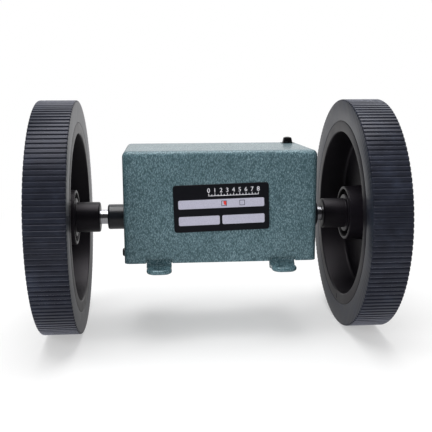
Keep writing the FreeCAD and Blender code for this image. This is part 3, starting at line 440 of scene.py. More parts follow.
# Outlines joined one to the next; a closed stack joins its last to its first, an open one is capped.
def loft(name, rings, closed):
    bm = bmesh.new()
    rows = [[bm.verts.new(point) for point in ring] for ring in rings]
    pairs = list(zip(rows, rows[1:]))
    if closed:
        pairs.append((rows[-1], rows[0]))
    for here, there in pairs:
        bridge(bm, here, there)
    if not closed:
        bm.faces.new(rows[0])
        bm.faces.new(rows[-1])
    return toObject(name, bm)


def joined(name, items):
    bm = bmesh.new()
    for item in items:
        bm.from_mesh(item.data)
        bpy.data.objects.remove(item)
    return toObject(name, bm)


def middle(node):
    low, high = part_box(node)
    return (low + high) / 2


axle = (middle("main_shaft").y, middle("main_shaft").z)
sides = (("left", -1), ("right", 1))


# Cover: one folded shell with soft painted edges round every cut-out
coverShape = {
    "round": 2.5 * mm,
    "roundSteps": 8,
    "wall": 1.2 * mm,
    "paintEdge": 0.22 * mm,
    "notchHeight": 1.8 * mm,
    "notchGap": 0.3 * mm,
    "bearingGap": 0.1 * mm,
    "slotGap": (0.6 * mm, 0.8 * mm),
    "windowWall": 0.9 * mm,
    "screwHole": 1.35 * mm,
}
feet = next(mount for mount in record["mounts"] if mount["name"] == "mounting_feet")["dims"]
footX = feet["spacing_x_mm"] / 2 * mm
footY = feet["spacing_y_mm"] / 2 * mm


def rod(name, along, radius, centre, near, far, steps=48):
    outline = [(radius * math.cos(2 * math.pi * step / steps) + centre[0],
                radius * math.sin(2 * math.pi * step / steps) + centre[1]) for step in range(steps)]
    return prism(name, outline, near, far, along)


def makeCover():
    shape = coverShape
    low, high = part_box("cover")
    bm = bmesh.new()
    bmesh.ops.create_cube(bm, size=1)
    for vert in bm.verts:
        for axis in range(3):
            vert.co[axis] = (low, high)[vert.co[axis] > 0][axis]
    rounded = [edge for edge in bm.edges if max(vert.co.z for vert in edge.verts) > low.z + mm]
    bmesh.ops.bevel(bm, geom=rounded, offset=shape["round"], segments=shape["roundSteps"], profile=0.5,
                    affect="EDGES")
    under = [face for face in bm.faces if max(vert.co.z for vert in face.verts) < low.z + 0.1 * mm]
    bmesh.ops.delete(bm, geom=under, context="FACES")
    cover = toObject("cover_shell", bm)
    wall = cover.modifiers.new("wall", "SOLIDIFY")
    wall.thickness = shape["wall"]
    wall.offset = -1
    wall.use_even_offset = True
    applied(cover)
    tools = []
    for place in (-footX, footX):
        half = baseShape["footWidth"] / 2 + shape["notchGap"]
        tools.append(block("notch", (place - half, low.y - mm, low.z - mm),
                           (place + half, high.y + mm, low.z + shape["notchHeight"])))
    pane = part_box("window_pane")
    room = shape["windowWall"]
    tools.append(block("window", (pane[0].x - room, high.y - 3 * mm, pane[0].z - room),
                       (pane[1].x + room, high.y + mm, pane[1].z + room)))
    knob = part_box("reset_knob")
    across, deep = shape["slotGap"]
    tools.append(block("slot", (knob[0].x - across, knob[0].y - deep, high.z - 3 * mm),
                       (knob[1].x + across, knob[1].y + deep, high.z + mm)))
    bearing = housingShape["radius"] + shape["bearingGap"]
    screwY, screwZ = coverScrewPlace()
    for near, far in ((low.x - mm, low.x + 3 * mm), (high.x - 3 * mm, high.x + mm)):
        tools.append(rod("bearing", "yzx", bearing, axle, near, far, 64))
        for place in (-screwY, screwY):
            tools.append(rod("screw", "yzx", shape["screwHole"], (place, screwZ), near, far, 24))
    combine(cover, tools)
    soften(cover, shape["paintEdge"])
    dress(cover, "housing", "hammertone_paint", replaced=["cover"])


# Base: one painted sheet with two tabs and four feet bent down and out
baseShape = {
    "footWidth": 11.0 * mm,
    "sheet": 2.1 * mm,
    "coverGap": 0.2 * mm,
    "bendInside": 0.7 * mm,
    "bendOutside": 2.0 * mm,
    "footRound": 4.0 * mm,
    "footEdge": 0.95 * mm,
    "footEdgeSteps": 5,
    "floorRound": 2.5 * mm,
    "tabHalf": 18.6 * mm,
    "tabTop": 11.8 * mm,
    "paintEdge": 0.15 * mm,
    "tabRound": 2.0 * mm,
    "frameScrews": (32.6 * mm, 14.0 * mm, 1.27 * mm),  # x, y and radius of their taps
}


# A foot's flat pad, from its bend to its tip, with fully rounded edges, as outlines stacked upward.
def footPad(place, side, start, tip):
    shape = baseShape
    edge, steps = shape["footEdge"], shape["footEdgeSteps"]
    rings = []
    for step in range(2 * steps + 2):
        turn = math.pi / 2 * (step - (step > steps)) / steps
        inset = edge * (1 - math.sin(turn))
        rise = edge * (1 - math.cos(turn))
        if step > steps:
            rise = shape["sheet"] - edge * (1 + math.cos(turn))
        half, out, soft = shape["footWidth"] / 2 - inset, tip - inset, shape["footRound"] - inset
        plan = arcs([(place - half, start, 0), (place + half, start, 0), (place + half, out, soft),
                     (place - half, out, soft)], 8)
        rings.append([(x, side * y, rise) for x, y in plan])
    return loft("foot_pad", rings, False)


def makeBase():
    shape = baseShape
    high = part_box("base")[1]
    sheet, wide = shape["sheet"], shape["footWidth"]
    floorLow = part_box("cover")[0].z
    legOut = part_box("cover")[1].y - coverShape["wall"] - shape["coverGap"]
    inside, outside = shape["bendInside"], shape["bendOutside"]
    half = [(high.y, 0, 0), (high.y, sheet, 0), (legOut, sheet, inside), (legOut, floorLow + sheet, outside)]
    inner = [(legOut - sheet, floorLow, inside), (legOut - sheet, 0, outside)]
    corners = half + [(-y, z, r) for y, z, r in reversed(half)]
    corners += [(-y, z, r) for y, z, r in reversed(inner)] + inner
    strips = []
    for place in (-footX, footX):
        strip = prism("foot_strip", arcs(corners), place - wide / 2, place + wide / 2, "yzx")
        near = block("foot_root", (place - wide, -legOut - mm, -mm),
                     (place + wide, legOut + mm, floorLow + sheet + mm))
        strips.append(combine(strip, [near], "INTERSECT"))
        for side in (-1, 1):
            strips.append(footPad(place, side, legOut + 0.3 * mm, high.y))
    floor = prism("floor", rectangle(2 * high.x, 2 * legOut, shape["floorRound"]), floorLow,
                  floorLow + sheet, "xyz")
    tabs = []
    tabHalf, tabTop, tabRound = shape["tabHalf"], shape["tabTop"], shape["tabRound"]
    for side in (-1, 1):
        near, far = sorted((side * high.x, side * (high.x - sheet)))
        outline = arcs([(-tabHalf, floorLow + sheet / 2, 0), (tabHalf, floorLow + sheet / 2, 0),
                        (tabHalf, tabTop, tabRound), (-tabHalf, tabTop, tabRound)])
        tabs.append(prism("tab", outline, near, far, "yzx"))
    combine(floor, strips + tabs, "UNION")
    holes = []
    radius = feet["hole_r_mm"] * mm
    screwX, screwY, screwRadius = shape["frameScrews"]
    for side in (-1, 1):
        for edge in (-1, 1):
            holes.append(rod("hole", "xyz", radius, (side * footX, edge * footY), -mm, sheet + mm))
            holes.append(rod("tap", "xyz", screwRadius, (side * screwX, edge * screwY), 0, 9 * mm, 24))
    combine(floor, holes)
    floor.name = "base_folded"
    soften(floor, shape["paintEdge"], 3)
    dress(floor, "housing", "hammertone_paint", bentEnamel, ["base"])


# Pan-head screws with a cross recess, along X at the ends of the box
screwShape = {
    "head": 1.8 * mm, "rise": 1.1 * mm, "shank": 1.25 * mm, "length": 3.6 * mm,
    "recess": 0.5 * mm, "recessHalf": 1.05 * mm, "recessDepth": 0.7 * mm,
}


# Heads are round, so the height of the four together is one head's width.
def coverScrewPlace():
    low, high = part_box("cover_screws")
    return high.y - (high.z - low.z) / 2, (low.z + high.z) / 2


def panScrew(name, side, seat, centre):
    shape = screwShape
    rise, head = shape["rise"], shape["head"]
    dome = [(0, shape["shank"]), (0, head - 0.1 * mm), (0.1 * mm, head), (0.45 * rise, head)]
    dome += [(0.45 * rise + 0.55 * rise * math.sin(turn), head - 0.75 * mm * (1 - math.cos(turn)))
             for turn in (0.35, 0.75, 1.15, 1.5)]
    dome += [(rise, 0), (-shape["length"], 0), (-shape["length"], shape["shank"])]
    outline = [(seat + side * x, r) for x, r in dome]
    screw = lathe(name, outline, centre, 48)
    top = seat + side * rise
    bottom = top - side * shape["recessDepth"]
    near, far = sorted((bottom, top + side * mm))
    tools = []
    arm, width = shape["recessHalf"], shape["recess"] / 2
    for wide, tall in ((arm, width), (width, arm)):
        tools.append(block("recess", (near, centre[0] - wide, centre[1] - tall),
                           (far, centre[0] + wide, centre[1] + tall)))
    combine(tools[0], [tools[1]], "UNION")
    return combine(screw, [tools[0]])


def makeCoverScrews():
    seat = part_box("cover")[1].x
    screwY, screwZ = coverScrewPlace()
    screws = [panScrew("cover_screw", side, side * seat, (edge * screwY, screwZ))
              for side in (-1, 1) for edge in (-1, 1)]
    item = soften(joined("cover_screw_heads", screws), 0.06 * mm)
    dress(item, "housing", "black_steel", replaced=["cover_screws"])


# Bearing housings: turned, flanged inside the box against the side plates
housingShape = {
    "radius": 5.75 * mm, "nose": 0.8 * mm, "bore": 4.52 * mm, "boreEdge": 0.25 * mm,
    "flange": 8.5 * mm, "flangeWide": 1.5 * mm, "flangeEdge": 0.3 * mm,
    "spigot": 5.0 * mm, "sidePlate": 1.6 * mm,
}


def makeHousings():
    shape = housingShape
    radius, edge = shape["radius"], shape["flangeEdge"]
    for name, side in sides:
        low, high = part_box(name + "_bearing_housing")
        inner, outer = (low.x, high.x) if side > 0 else (-high.x, -low.x)
        plate = inner + shape["sidePlate"]
        front = plate + shape["flangeWide"]
        corners = [(inner, shape["bore"], 0), (outer, shape["bore"], shape["boreEdge"]),
                   (outer, radius, shape["nose"]), (front, radius, 0.4 * mm),
                   (front, shape["flange"], edge), (plate, shape["flange"], edge),
                   (plate, shape["spigot"], 0), (inner, shape["spigot"], 0.2 * mm)]
        item = smooth(lathe(name + "_housing_turned", [(side * x, r) for x, r in arcs(corners)], axle, 96))
        dress(item, "housing", "black_steel", replaced=[name + "_bearing_housing"])


# Wheels: moulded core with a deep recess and a lipped boss, and a rubber tyre with straight ribs
coreShape = {
    "rim": 43.2 * mm, "rimInside": 38.2 * mm, "draft": 0.9 * mm, "web": 3.0 * mm, "dish": 1.2 * mm,
    "boss": 12.5 * mm, "bossDepth": 2.0 * mm, "lip": 11.2 * mm, "groove": 8.8 * mm, "grooveDepth": 2.6 * mm,
    "hub": 6.9 * mm, "bore": 3.32 * mm, "seat": 6.2 * mm, "seatDepth": 1.6 * mm,
    "indexMark": (39.6 * mm, 41.9 * mm, 0.7 * mm, 1.2 * mm),  # low, high, width, depth
    "hubEdge": 0.7 * mm, "lipEdge": 0.45 * mm, "fillet": 1.6 * mm, "rimEdge": 0.45 * mm,
}
tyreShape = {"ribs": 140, "perRib": 12, "depth": 0.45 * mm, "crest": 0.6, "foot": 0.76, "shoulder": 0.55 * mm,
             "innerEdge": 0.35 * mm}


def wheelFace(name, side):
    low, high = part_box(name + "_tyre")
    return (low.x if side > 0 else high.x), high.x - low.x


def makeCore(name, side):
    shape = coreShape
    face, wide = wheelFace(name, side)
    low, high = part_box(name + "_wheel_core")
    reach = face - low.x if side > 0 else high.x - face
    outer = wide - shape["dish"]
    web = outer - shape["web"]
    seat = wide - shape["seatDepth"]
    deep = shape["bossDepth"]
    bottom = deep + shape["grooveDepth"]
    hub, bore, groove, ring, boss = (shape[key] for key in ("hub", "bore", "groove", "lip", "boss"))
    rim, inside = shape["rim"], shape["rimInside"]
    lip, soft, edge = shape["lipEdge"], shape["fillet"], shape["rimEdge"]
    corners = [
        (-reach, bore, 0.3 * mm), (-reach, hub, shape["hubEdge"]), (deep, hub, 0.3 * mm), (deep, groove, lip),
        (bottom, groove + 0.2 * mm, 0.6 * mm), (bottom, ring - 0.2 * mm, 0.6 * mm), (deep, ring, lip),
        (deep, boss, lip), (web, boss + 0.5 * mm, soft), (web, inside - shape["draft"], soft),
        (0, inside, 0.7 * mm), (0, rim, edge), (wide, rim, edge), (wide, inside, 0.5 * mm),
        (outer, inside - 0.4 * mm, 0.5 * mm), (outer, boss + 0.4 * mm, 0.5 * mm), (wide, boss, 0.5 * mm),
        (wide, shape["seat"], 0.3 * mm), (seat, shape["seat"], 0), (seat, bore, 0),
    ]
    outline = [(face + side * x, r) for x, r in arcs(corners, 5)]
    item = lathe(name + "_core_moulded", outline, axle, 192)
    nearer, farther, across, into = shape["indexMark"]
    near, far = sorted((face - side * mm, face + side * into))
    mark = block("mark", (near, axle[0] - across / 2, axle[1] - farther),
                 (far, axle[0] + across / 2, axle[1] - nearer))
    smooth(combine(item, [mark]))
    dress(item, "wheel_set", "moulded_core", replaced=[name + "_wheel_core"])


def makeTyre(name, side):
    shape = tyreShape
    face, wide = wheelFace(name, side)
    low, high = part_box(name + "_tyre")
    radius, bore = (high.z - low.z) / 2, coreShape["rim"]
    edge, shoulder = shape["innerEdge"], shape["shoulder"]
    steps = shape["ribs"] * shape["perRib"]
    crest, foot = shape["crest"] / 2, shape["foot"] / 2
    valleys = []
    for step in range(steps):
        share = abs((step / shape["perRib"]) % 1 - 0.5)  # 0.5 on a rib's middle, 0 in a valley's
        slope = min(1, max(0, (0.5 - share - crest) / (foot - crest)))
        valleys.append(shape["depth"] * slope * slope * (3 - 2 * slope))
    phase = math.pi / shape["ribs"]

    def ribbed(x, reach, angle):
        if reach < radius - shoulder - 0.01 * mm:
            return reach
        return reach - valleys[round((angle + phase) / (2 * math.pi) * steps) % steps]
    outline = arcs([(0, bore, edge), (0, radius, shoulder), (wide, radius, shoulder), (wide, bore, edge)], 4)
    item = lathe(name + "_tyre_ribbed", [(face + side * x, r) for x, r in outline], axle, steps, ribbed)
    smooth(item, 40)
    dress(item, "wheel_set", "tyre_rubber", replaced=[name + "_tyre"])
    item.data.materials.append(dustyTread)
    for polygon in item.data.polygons:
        outward = (polygon.center.yz - Vector(axle)).length > (bore + radius) / 2
        polygon.material_index = int(outward and abs(polygon.normal.x) < 0.5)


# Wheel fastening: rounded washers and socket-head screws in the outer faces
fasteningShape = {
    "washer": 5.8 * mm, "washerBore": 2.1 * mm, "washerThick": 1.0 * mm, "washerEdge": 0.2 * mm,
    "head": 3.5 * mm, "headTall": 2.2 * mm, "headEdge": 0.5 * mm, "socket": 1.4 * mm, "socketDepth": 1.2 * mm,
    "shank": 2.0 * mm, "shankLength": 8.0 * mm,
}


def makeFastening():
    shape = fasteningShape
    socket, shank = shape["socket"], shape["shank"]
    washers, screws = [], []
    for name, side in sides:
        face, wide = wheelFace(name, side)
        seat = wide - coreShape["seatDepth"]
        base = seat + shape["washerThick"]
        washer = arcs([(seat, shape["washerBore"], 0), (base, shape["washerBore"], 0.1 * mm),
                       (base, shape["washer"], shape["washerEdge"]),
                       (seat, shape["washer"], shape["washerEdge"])])
        washers.append(lathe("washer", [(face + side * x, r) for x, r in washer], axle, 72))
        top = base + shape["headTall"]
        end = seat - 0.3 * mm - shape["shankLength"]
        bottom = top - shape["socketDepth"]
        corners = [(end, 0, 0), (end, shank, 0.3 * mm), (base, shank, 0), (base, shape["head"], 0.15 * mm),
                   (top, shape["head"], shape["headEdge"]), (top, socket, 0.12 * mm), (bottom, socket, 0),
                   (bottom - 0.3 * mm, 0, 0)]

        def hexagon(x, radius, angle):
            deep = (x - face) * side
            if deep < bottom - 0.4 * mm or radius > socket + 0.2 * mm or radius < 0.1 * mm:
                return radius
            flat = (angle % (math.pi / 3)) - math.pi / 6
            return radius / math.cos(flat)
        outline = [(face + side * x, r) for x, r in arcs(corners, 4)]
        screws.append(lathe("wheel_screw", outline, axle, 72, hexagon))
    for name, items, node in (("wheel_washer_pair", washers, "wheel_washers"),
                              ("wheel_screw_pair", screws, "wheel_screws")):
        dress(smooth(joined(name, items)), "wheel_set", "zinc_steel", replaced=[node])


# Nameplate: a lacquered plate with bare printed fields, two tick boxes and a plain numbered scale
plateShape = {
    "wide": 41.6 * mm, "tall": 20.6 * mm, "thick": 0.4 * mm, "round": 1.2 * mm, "edge": 0.08 * mm,
    "tilt": math.radians(1.6), "ink": 0.03 * mm,
    # fields as x, up, wide, tall and boxes as x, up, all in mm from the plate's middle
    "fields": [(0.0, 1.82, 37.4, 3.85), (-9.83, -5.4, 17.8, 3.95), (9.45, -5.35, 18.5, 3.95)],
    "fieldRound": 0.65 * mm,
    "boxes": [(1.15, 1.85), (9.05, 1.85)],
    "boxSide": 2.35 * mm, "boxLine": 0.24 * mm,
    "scale": {"count": 9, "start": -5.4 * mm, "pitch": 2.7 * mm, "base": 5.4 * mm, "tick": 0.9 * mm,
              "line": 0.22 * mm, "figure": 1.9 * mm},
}


def onPlate(x, up, out):
    centre = middle("nameplate")
    tilt = plateShape["tilt"]
    across = centre.x + x * math.cos(tilt) - up * math.sin(tilt)
    high = centre.z + x * math.sin(tilt) + up * math.cos(tilt)
    return (across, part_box("cover")[0].y - out, high)


def printOn(name, outlines, near, far, material, slot="black_plate"):
    sheets = []
    for outline in outlines:
        rings = [[onPlate(x, up, out) for x, up in outline] for out in (near, far)]
        sheets.append(loft(name, rings, False))
    item = joined(name, sheets)
    dress(item, "housing", slot, material)
    return item


def figureOutline(text, height):
    curve = bpy.data.curves.new("figure", "FONT")
    curve.body = text
    curve.size = height / 0.7
    curve.align_x = "CENTER"
    curve.resolution_u = 3
    return curveMesh(curve)


# Flat figures laid by a function of (across, up, out), with two skins so that each is a closed solid.
def laidFigure(bm, mesh, lay, thick, cuts=0):
    flat = bmesh.new()
    flat.from_mesh(mesh)
    if cuts:
        tall = [vert.co.y for vert in flat.verts]
        for step in range(1, cuts):
            level = min(tall) + (max(tall) - min(tall)) * step / cuts
            bmesh.ops.bisect_plane(flat, geom=flat.verts[:] + flat.edges[:] + flat.faces[:], dist=1e-9,
                                   plane_co=(0, level, 0), plane_no=(0, 1, 0))
    bmesh.ops.remove_doubles(flat, verts=flat.verts, dist=1e-7)
    skins = []
    for out in (0, thick):
        skins.append({vert: bm.verts.new(lay(vert.co.x, vert.co.y, out)) for vert in flat.verts})
    for face in flat.faces:
        bm.faces.new([skins[0][vert] for vert in reversed(face.verts)])
        bm.faces.new([skins[1][vert] for vert in face.verts])
    for edge in flat.edges:
        if len(edge.link_faces) == 1:
            first, last = edge.verts
            bm.faces.new((skins[0][first], skins[0][last], skins[1][last], skins[1][first]))
    flat.free()


def makeNameplate():
    shape = plateShape
    thick, ink, edge = shape["thick"], shape["ink"], shape["edge"]
    outline = rectangle(shape["wide"], shape["tall"], shape["round"])
    small = rectangle(shape["wide"] - 2 * edge, shape["tall"] - 2 * edge, shape["round"] - edge)
    rings = [[onPlate(x, up, out) for x, up in ring]
             for ring, out in ((outline, 0), (outline, thick - edge), (small, thick))]
    plate = smooth(loft("nameplate_sheet", rings, False), 30)
    dress(plate, "housing", "black_plate", replaced=["nameplate"])
    fields = [rectangle(wide * mm, tall * mm, shape["fieldRound"], (x * mm, up * mm))
              for x, up, wide, tall in shape["fields"]]
    printOn("nameplate_fields", fields, thick - ink, thick + ink, paleInk)
    side, line = shape["boxSide"], shape["boxLine"]
    boxes = [(x * mm, up * mm) for x, up in shape["boxes"]]
    bars = []
    for x, up in boxes:
        for out in ((line - side) / 2, (side - line) / 2):
            bars.append(rectangle(side, line, 0, (x, up + out)))
            bars.append(rectangle(line, side - 2 * line, 0, (x + out, up)))
    printOn("nameplate_boxes", bars, thick, thick + 1.6 * ink, darkInk)
    x, up = boxes[0]
    inner, soft = side / 2 - line, 0.2 * mm
    mark = arcs([(x - 0.1 * mm, up - inner * 0.55, soft), (x + inner, up - inner * 0.9, soft),
                 (x + inner, up + inner, soft), (x - inner * 0.35, up + inner, soft)])
    printOn("nameplate_mark", [mark], thick, thick + 1.8 * ink, redInk)
    count, start, pitch, base, tick, line, figure = shape["scale"].values()
    ticks = []
    for step in range((count - 1) * 2 + 1):
        tall = tick * (0.55 if step % 2 else 1)
        ticks.append(rectangle(line, tall, 0, (start + step * pitch / 2, base + tall / 2)))
    length = (count - 1) * pitch
    ticks.append(rectangle(length + line, line, 0, (start + length / 2, base - line / 2)))
    printOn("nameplate_scale", ticks, thick - ink, thick + ink, whiteInk)
    bm = bmesh.new()
    high = base + tick + 0.45 * mm
    for step in range(count):
        at = start + step * pitch
        laidFigure(bm, figureOutline(str(step), figure),
                   lambda x, up, out: onPlate(at + x, high + up, thick + out), ink)
    dress(toObject("nameplate_figures", bm), "housing", "black_plate", whiteInk)


# Window: a chamfered frame, its clear pane, and the figures on the number drums behind it
windowShape = {
    "view": (40.6 * mm, 8.6 * mm), "round": 1.5 * mm, "bezelRim": 0.5 * mm, "slope": 0.9 * mm,
    "neck": 1.6 * mm,  # from the view to the outside of the wall that holds the pane
    "paneGap": 0.02 * mm, "paneEdge": 0.12 * mm,
}


def makeWindow():
    shape = windowShape
    low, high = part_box("window_bezel")
    centre = ((low.x + high.x) / 2, (low.z + high.z) / 2)
    wide, tall = high.x - low.x, high.z - low.z
    back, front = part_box("cover")[1].y, high.y
    paneLow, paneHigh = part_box("window_pane")
    pane = (paneHigh.x - paneLow.x, paneHigh.z - paneLow.z)
    view, rim, slope, gap, edge = (shape[key] for key in ("view", "bezelRim", "slope", "paneGap", "paneEdge"))

    def ring(size, grow, radius, depth):
        return [(x, depth, z) for x, z in rectangle(size[0] + 2 * grow, size[1] + 2 * grow, radius, centre)]
    eased = rim * (1 - math.sqrt(0.5))  # halfway round the rim's edge
    rings = [
        ring((wide, tall), 0, shape["round"], back),
        ring((wide, tall), 0, shape["round"], front - rim),
        ring((wide, tall), -eased, shape["round"] - eased, front - eased),
        ring((wide, tall), -rim, shape["round"] - rim, front),
        ring(view, slope, 1.1 * mm, front),
        ring(view, slope - 0.15 * mm, 1.0 * mm, front - 0.12 * mm),
        ring(view, 0, 0.4 * mm, front - slope - 0.1 * mm),
        ring(view, 0, 0.4 * mm, paneHigh.y + gap),
        ring(pane, gap, 0.1 * mm, paneHigh.y + gap),
        ring(pane, gap, 0.1 * mm, low.y),
        ring(view, shape["neck"], 0.3 * mm, low.y),
        ring(view, shape["neck"], 0.3 * mm, back),
    ]
    bezel = smooth(loft("window_bezel_moulded", rings, True), 30)
    dress(bezel, "housing", "black_plastic", replaced=["window_bezel"])
    rings = [
        ring(pane, -edge, 0.2 * mm, paneLow.y), ring(pane, 0, 0.3 * mm, paneLow.y + edge),
        ring(pane, 0, 0.3 * mm, paneHigh.y - edge), ring(pane, -edge, 0.2 * mm, paneHigh.y),
    ]
    clear = smooth(loft("window_pane_clear", rings, False), 30)
    dress(clear, "housing", "clear_pane", replaced=["window_pane"])


# Drum figures: the first drum counts tenths, red on a white band, and the others are white on black
drumShape = {"radius": 9.5 * mm, "height": 4.1 * mm, "ink": 0.03 * mm, "band": 0.05 * mm,
             "ringWide": 5.2 * mm, "ringInset": 1.2 * mm}
drumBodies = ["first_drum", "second_drum", "third_drum", "fourth_drum", "fifth_drum"]


def makeDrumFigures():
    shape = drumShape
    axis = middle("drum_shaft")
    half = shape["ringWide"] / 2
    for number, body in enumerate(drumBodies, 1):
        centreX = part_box(f"number_drum_{number}")[1].x - shape["ringInset"] - half
        radius = shape["radius"]
        if number == 1:
            below, above = radius - 0.1 * mm, radius + shape["band"]
            corners = arcs([(-half, below, 0), (-half, above, 0.03 * mm), (half, above, 0.03 * mm),
                            (half, below, 0)], 2)
            outline = [(centreX + x, r) for x, r in corners]
            band = smooth(lathe("tenths_band", outline, (axis.y, axis.z), 120))
            dress(band, body, "drum_plastic", whiteInk)
            radius = above
        bm = bmesh.new()
        for figure in range(10):
            turn = -figure * math.pi / 5

            def lay(x, up, out):
                angle = turn + (up - shape["height"] / 2) / radius
                reach = radius + out
                return (centreX - x, axis.y + reach * math.cos(angle), axis.z + reach * math.sin(angle))
            laidFigure(bm, figureOutline(str(figure), shape["height"]), lay, shape["ink"], 14)
        item = smooth(toObject(f"drum_figures_{number}", bm), 30)
        dress(item, body, "drum_plastic", redInk if number == 1 else whiteInk)


# Reset knob and the spring under its lever
knobShape = {"edge": 0.45 * mm, "crown": 0.25 * mm, "corner": 0.6 * mm, "topShare": 3.7 / 5.3}
springShape = {"turns": 7, "closed": 0.9, "wire": 0.17 * mm, "steps": 24}  # closed turns at each end


def makeKnob():
    shape = knobShape
    low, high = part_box("reset_knob")
    centre = ((low.x + high.x) / 2, (low.y + high.y) / 2)
    wide, deep, tall = high.x - low.x, high.y - low.y, high.z - low.z
    edge, crown = shape["edge"], shape["crown"]
    rings = []

    def ring(share, z, inset=0.0, radius=shape["corner"]):
        scale = 1 + (shape["topShare"] - 1) * share
        outline = rectangle(wide * scale - 2 * inset, deep * scale - 2 * inset, radius, centre)
        rings.append([(x, y, z) for x, y in outline])
    ring(0, low.z, edge / 2, 0.4 * mm)
    ring(0.02, low.z + edge / 2)
    ring(0.5, low.z + tall * 0.5)
    for turn in (0, 0.3, 0.6, 0.9, 1.2, math.pi / 2):
        ring(1, high.z - crown - edge * (1 - math.sin(turn)), edge * (1 - math.cos(turn)))
    ring(1, high.z - crown * 0.25, 0.95 * mm, 0.35 * mm)
    ring(1, high.z, 1.4 * mm, 0.15 * mm)
    knob = smooth(loft("reset_knob_moulded", rings, False), 40)
    dress(knob, "reset_rocker", "black_plastic", replaced=["reset_knob"])


def makeSpring():
    shape = springShape
    low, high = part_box("reset_spring")
    centre = (low + high) / 2
    wire = shape["wire"]
    radius = (high.x - low.x) / 2 - wire
    start, rise = low.z + wire, high.z - low.z - 2 * wire
    path = []
    total = shape["turns"] * shape["steps"]
    openTurns = shape["turns"] - 2 * shape["closed"]
    for step in range(total + 1):
        turns = shape["turns"] * step / total
        lead = min(max(turns - shape["closed"], 0), openTurns) / openTurns
        angle = 2 * math.pi * turns
        path.append(Vector((centre.x + radius * math.cos(angle), centre.y + radius * math.sin(angle),
                            start + rise * lead)))
    curve = bpy.data.curves.new("spring_path", "CURVE")
    curve.dimensions = "3D"
    curve.bevel_depth = wire
    curve.bevel_resolution = 3
    curve.use_fill_caps = True
    spline = curve.splines.new("POLY")
    spline.points.add(len(path) - 1)
    for point, at in zip(spline.points, path):
        point.co = (*at, 1)
    spring = smooth(addObject("reset_spring_coil", curveMesh(curve)), 60)
    dress(spring, "housing", "spring_steel", replaced=["reset_spring"])
    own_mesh(spring)


makeCover()
print("stage: cover")
makeBase()
makeCoverScrews()
makeHousings()
print("stage: base, screws and housings")
for name, side in sides:
    makeCore(name, side)
    makeTyre(name, side)
makeFastening()
print("stage: wheels")
makeNameplate()
makeWindow()
makeDrumFigures()
print("stage: nameplate, window and figures")
makeKnob()
makeSpring()
print("stage: knob and spring")


# CAD nodes that stay get the finish of their slot.
for part in record["subparts"]:
    item = frame["nodes"][part["node"]]
    item.data.materials.clear()
    item.data.materials.append(finishes[part["material_slot"]])
print("stage: kept nodes dressed")


# Studio: pale floor, white surroundings and soft lamps
studio = {
    "floorReach": 6000 * mm,
    "floorDrop": 0.05 * mm,
    "floorNear": 0.4,  # share of plain white beside the object, where its shadow falls
    "surround": 0.5,
    "offLeft": 0.05,  # what gloss shows of the room's dark left side
    "photographerSide": 0.05,  # what gloss shows of the dark room behind the camera
    "overhead": {"place": (-40, 30, 1080), "size": (1180, 680), "power": 11.5},
    "front": {"place": (-850, -750, 420), "size": (600, 600), "power": 6.0},
}


# Settings of a smooth rise from the least share up to one.
def fade(start, end, least):
    return {"interpolation_type": "SMOOTHSTEP", "From Min": start, "From Max": end, "To Min": least}


def seenBy(tree, kinds):
    path = addNode(tree, "LightPath")
    total = path.outputs[kinds[0]]
    for kind in kinds[1:]:
        total = addNode(tree, "Math", {"operation": "MAXIMUM"}, {0: total, 1: path.outputs[kind]})
    return total


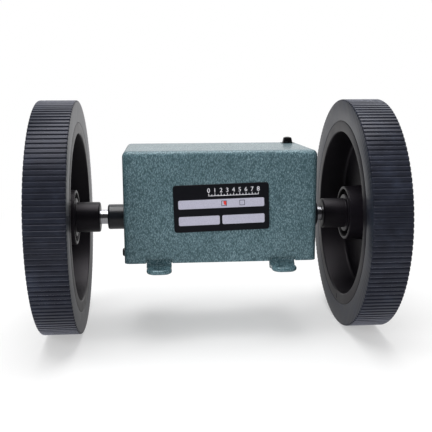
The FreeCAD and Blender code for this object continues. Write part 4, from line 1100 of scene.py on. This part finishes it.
# The floor is matt white that takes the object's shadow, and fades to plain white away from it.
def makeFloor():
    bm = bmesh.new()
    reach = studio["floorReach"]
    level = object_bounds()[0][2] - studio["floorDrop"]
    corners = ((-reach, -reach), (reach, -reach), (reach, reach), (-reach, reach))
    bm.faces.new([bm.verts.new((x, y, level)) for x, y in corners])
    floor = toObject("studio_floor", bm)
    material = bpy.data.materials.new("pale_floor")
    material.use_nodes = True
    tree = material.node_tree
    tree.nodes.clear()
    place = addNode(tree, "TexCoord").outputs["Object"]
    parts = addNode(tree, "SeparateXYZ", None, {0: place})
    flat = addNode(tree, "CombineXYZ", None, {0: parts.outputs["X"], 1: parts.outputs["Y"]})
    away = addNode(tree, "VectorMath", {"operation": "LENGTH"}, {0: flat})
    share = addNode(tree, "MapRange", fade(0.05, 0.35, studio["floorNear"]), {"Value": away.outputs["Value"]})
    dusk = addNode(tree, "MapRange", fade(-0.3, -0.08, studio["photographerSide"]),
                   {"Value": parts.outputs["Y"]})
    matt = addNode(tree, "BsdfDiffuse", {"Color": (0.9, 0.9, 0.9, 1)})
    white = addNode(tree, "Emission", {"Strength": 1.0})
    shown = addNode(tree, "MixShader", None, {0: share, 1: matt, 2: white})
    # Gloss sees the floor as an emission with painted shade: dimmed beside the object as a painted shadow,
    # and darker towards the camera.
    dimmed = addNode(tree, "Math", {"operation": "MULTIPLY"}, {0: share, 1: dusk})
    mirrored = addNode(tree, "Emission", None, {"Strength": dimmed})
    first = addNode(tree, "MixShader", None, {0: seenBy(tree, ["Is Glossy Ray"]), 1: matt, 2: mirrored})
    last = addNode(tree, "MixShader", None, {0: seenBy(tree, ["Is Camera Ray", "Is Transmission Ray"]),
                                             1: first, 2: shown})
    addNode(tree, "OutputMaterial", None, {"Surface": last})
    floor.data.materials.append(material)


def makeWorld():
    world = bpy.data.worlds.new("white_surround")
    bpy.context.scene.world = world
    world.use_nodes = True
    tree = world.node_tree
    tree.nodes.clear()
    soft = addNode(tree, "Background", {"Strength": studio["surround"], "Color": (1, 1, 1, 1)})
    white = addNode(tree, "Background", {"Strength": 1.0, "Color": (1, 1, 1, 1)})
    parts = addNode(tree, "SeparateXYZ", None, {0: addNode(tree, "TexCoord").outputs["Generated"]})
    dusk = addNode(tree, "MapRange", fade(-0.2, 0.7, studio["photographerSide"]),
                   {"Value": parts.outputs["Y"]})
    left = addNode(tree, "MapRange", fade(-0.45, -0.05, studio["offLeft"]), {"Value": parts.outputs["X"]})
    dimmed = addNode(tree, "Math", {"operation": "MULTIPLY"}, {0: dusk, 1: left})
    mirrored = addNode(tree, "Background", {"Color": (1, 1, 1, 1)}, {"Strength": dimmed})
    first = addNode(tree, "MixShader", None, {0: seenBy(tree, ["Is Glossy Ray"]), 1: soft, 2: mirrored})
    last = addNode(tree, "MixShader", None, {0: seenBy(tree, ["Is Camera Ray", "Is Transmission Ray"]),
                                             1: first, 2: white})
    addNode(tree, "OutputWorld", None, {"Surface": last})


def makeLamp(name):
    lamp = bpy.data.lights.new(name, "AREA")
    lamp.shape = "RECTANGLE"
    lamp.size, lamp.size_y = (side * mm for side in studio[name]["size"])
    lamp.energy = studio[name]["power"]
    item = addObject(name + "_lamp", lamp)
    place = Vector(studio[name]["place"]) * mm
    item.matrix_world = Matrix.Translation(place) @ (-place).to_track_quat("-Z", "Y").to_matrix().to_4x4()


makeFloor()
makeWorld()
for name in ("overhead", "front"):
    makeLamp(name)
bpy.data.objects["front_lamp"].visible_glossy = False  # the photograph's gloss shows light from above alone
bpy.context.scene.view_settings.view_transform = "Standard"
print("stage: studio")
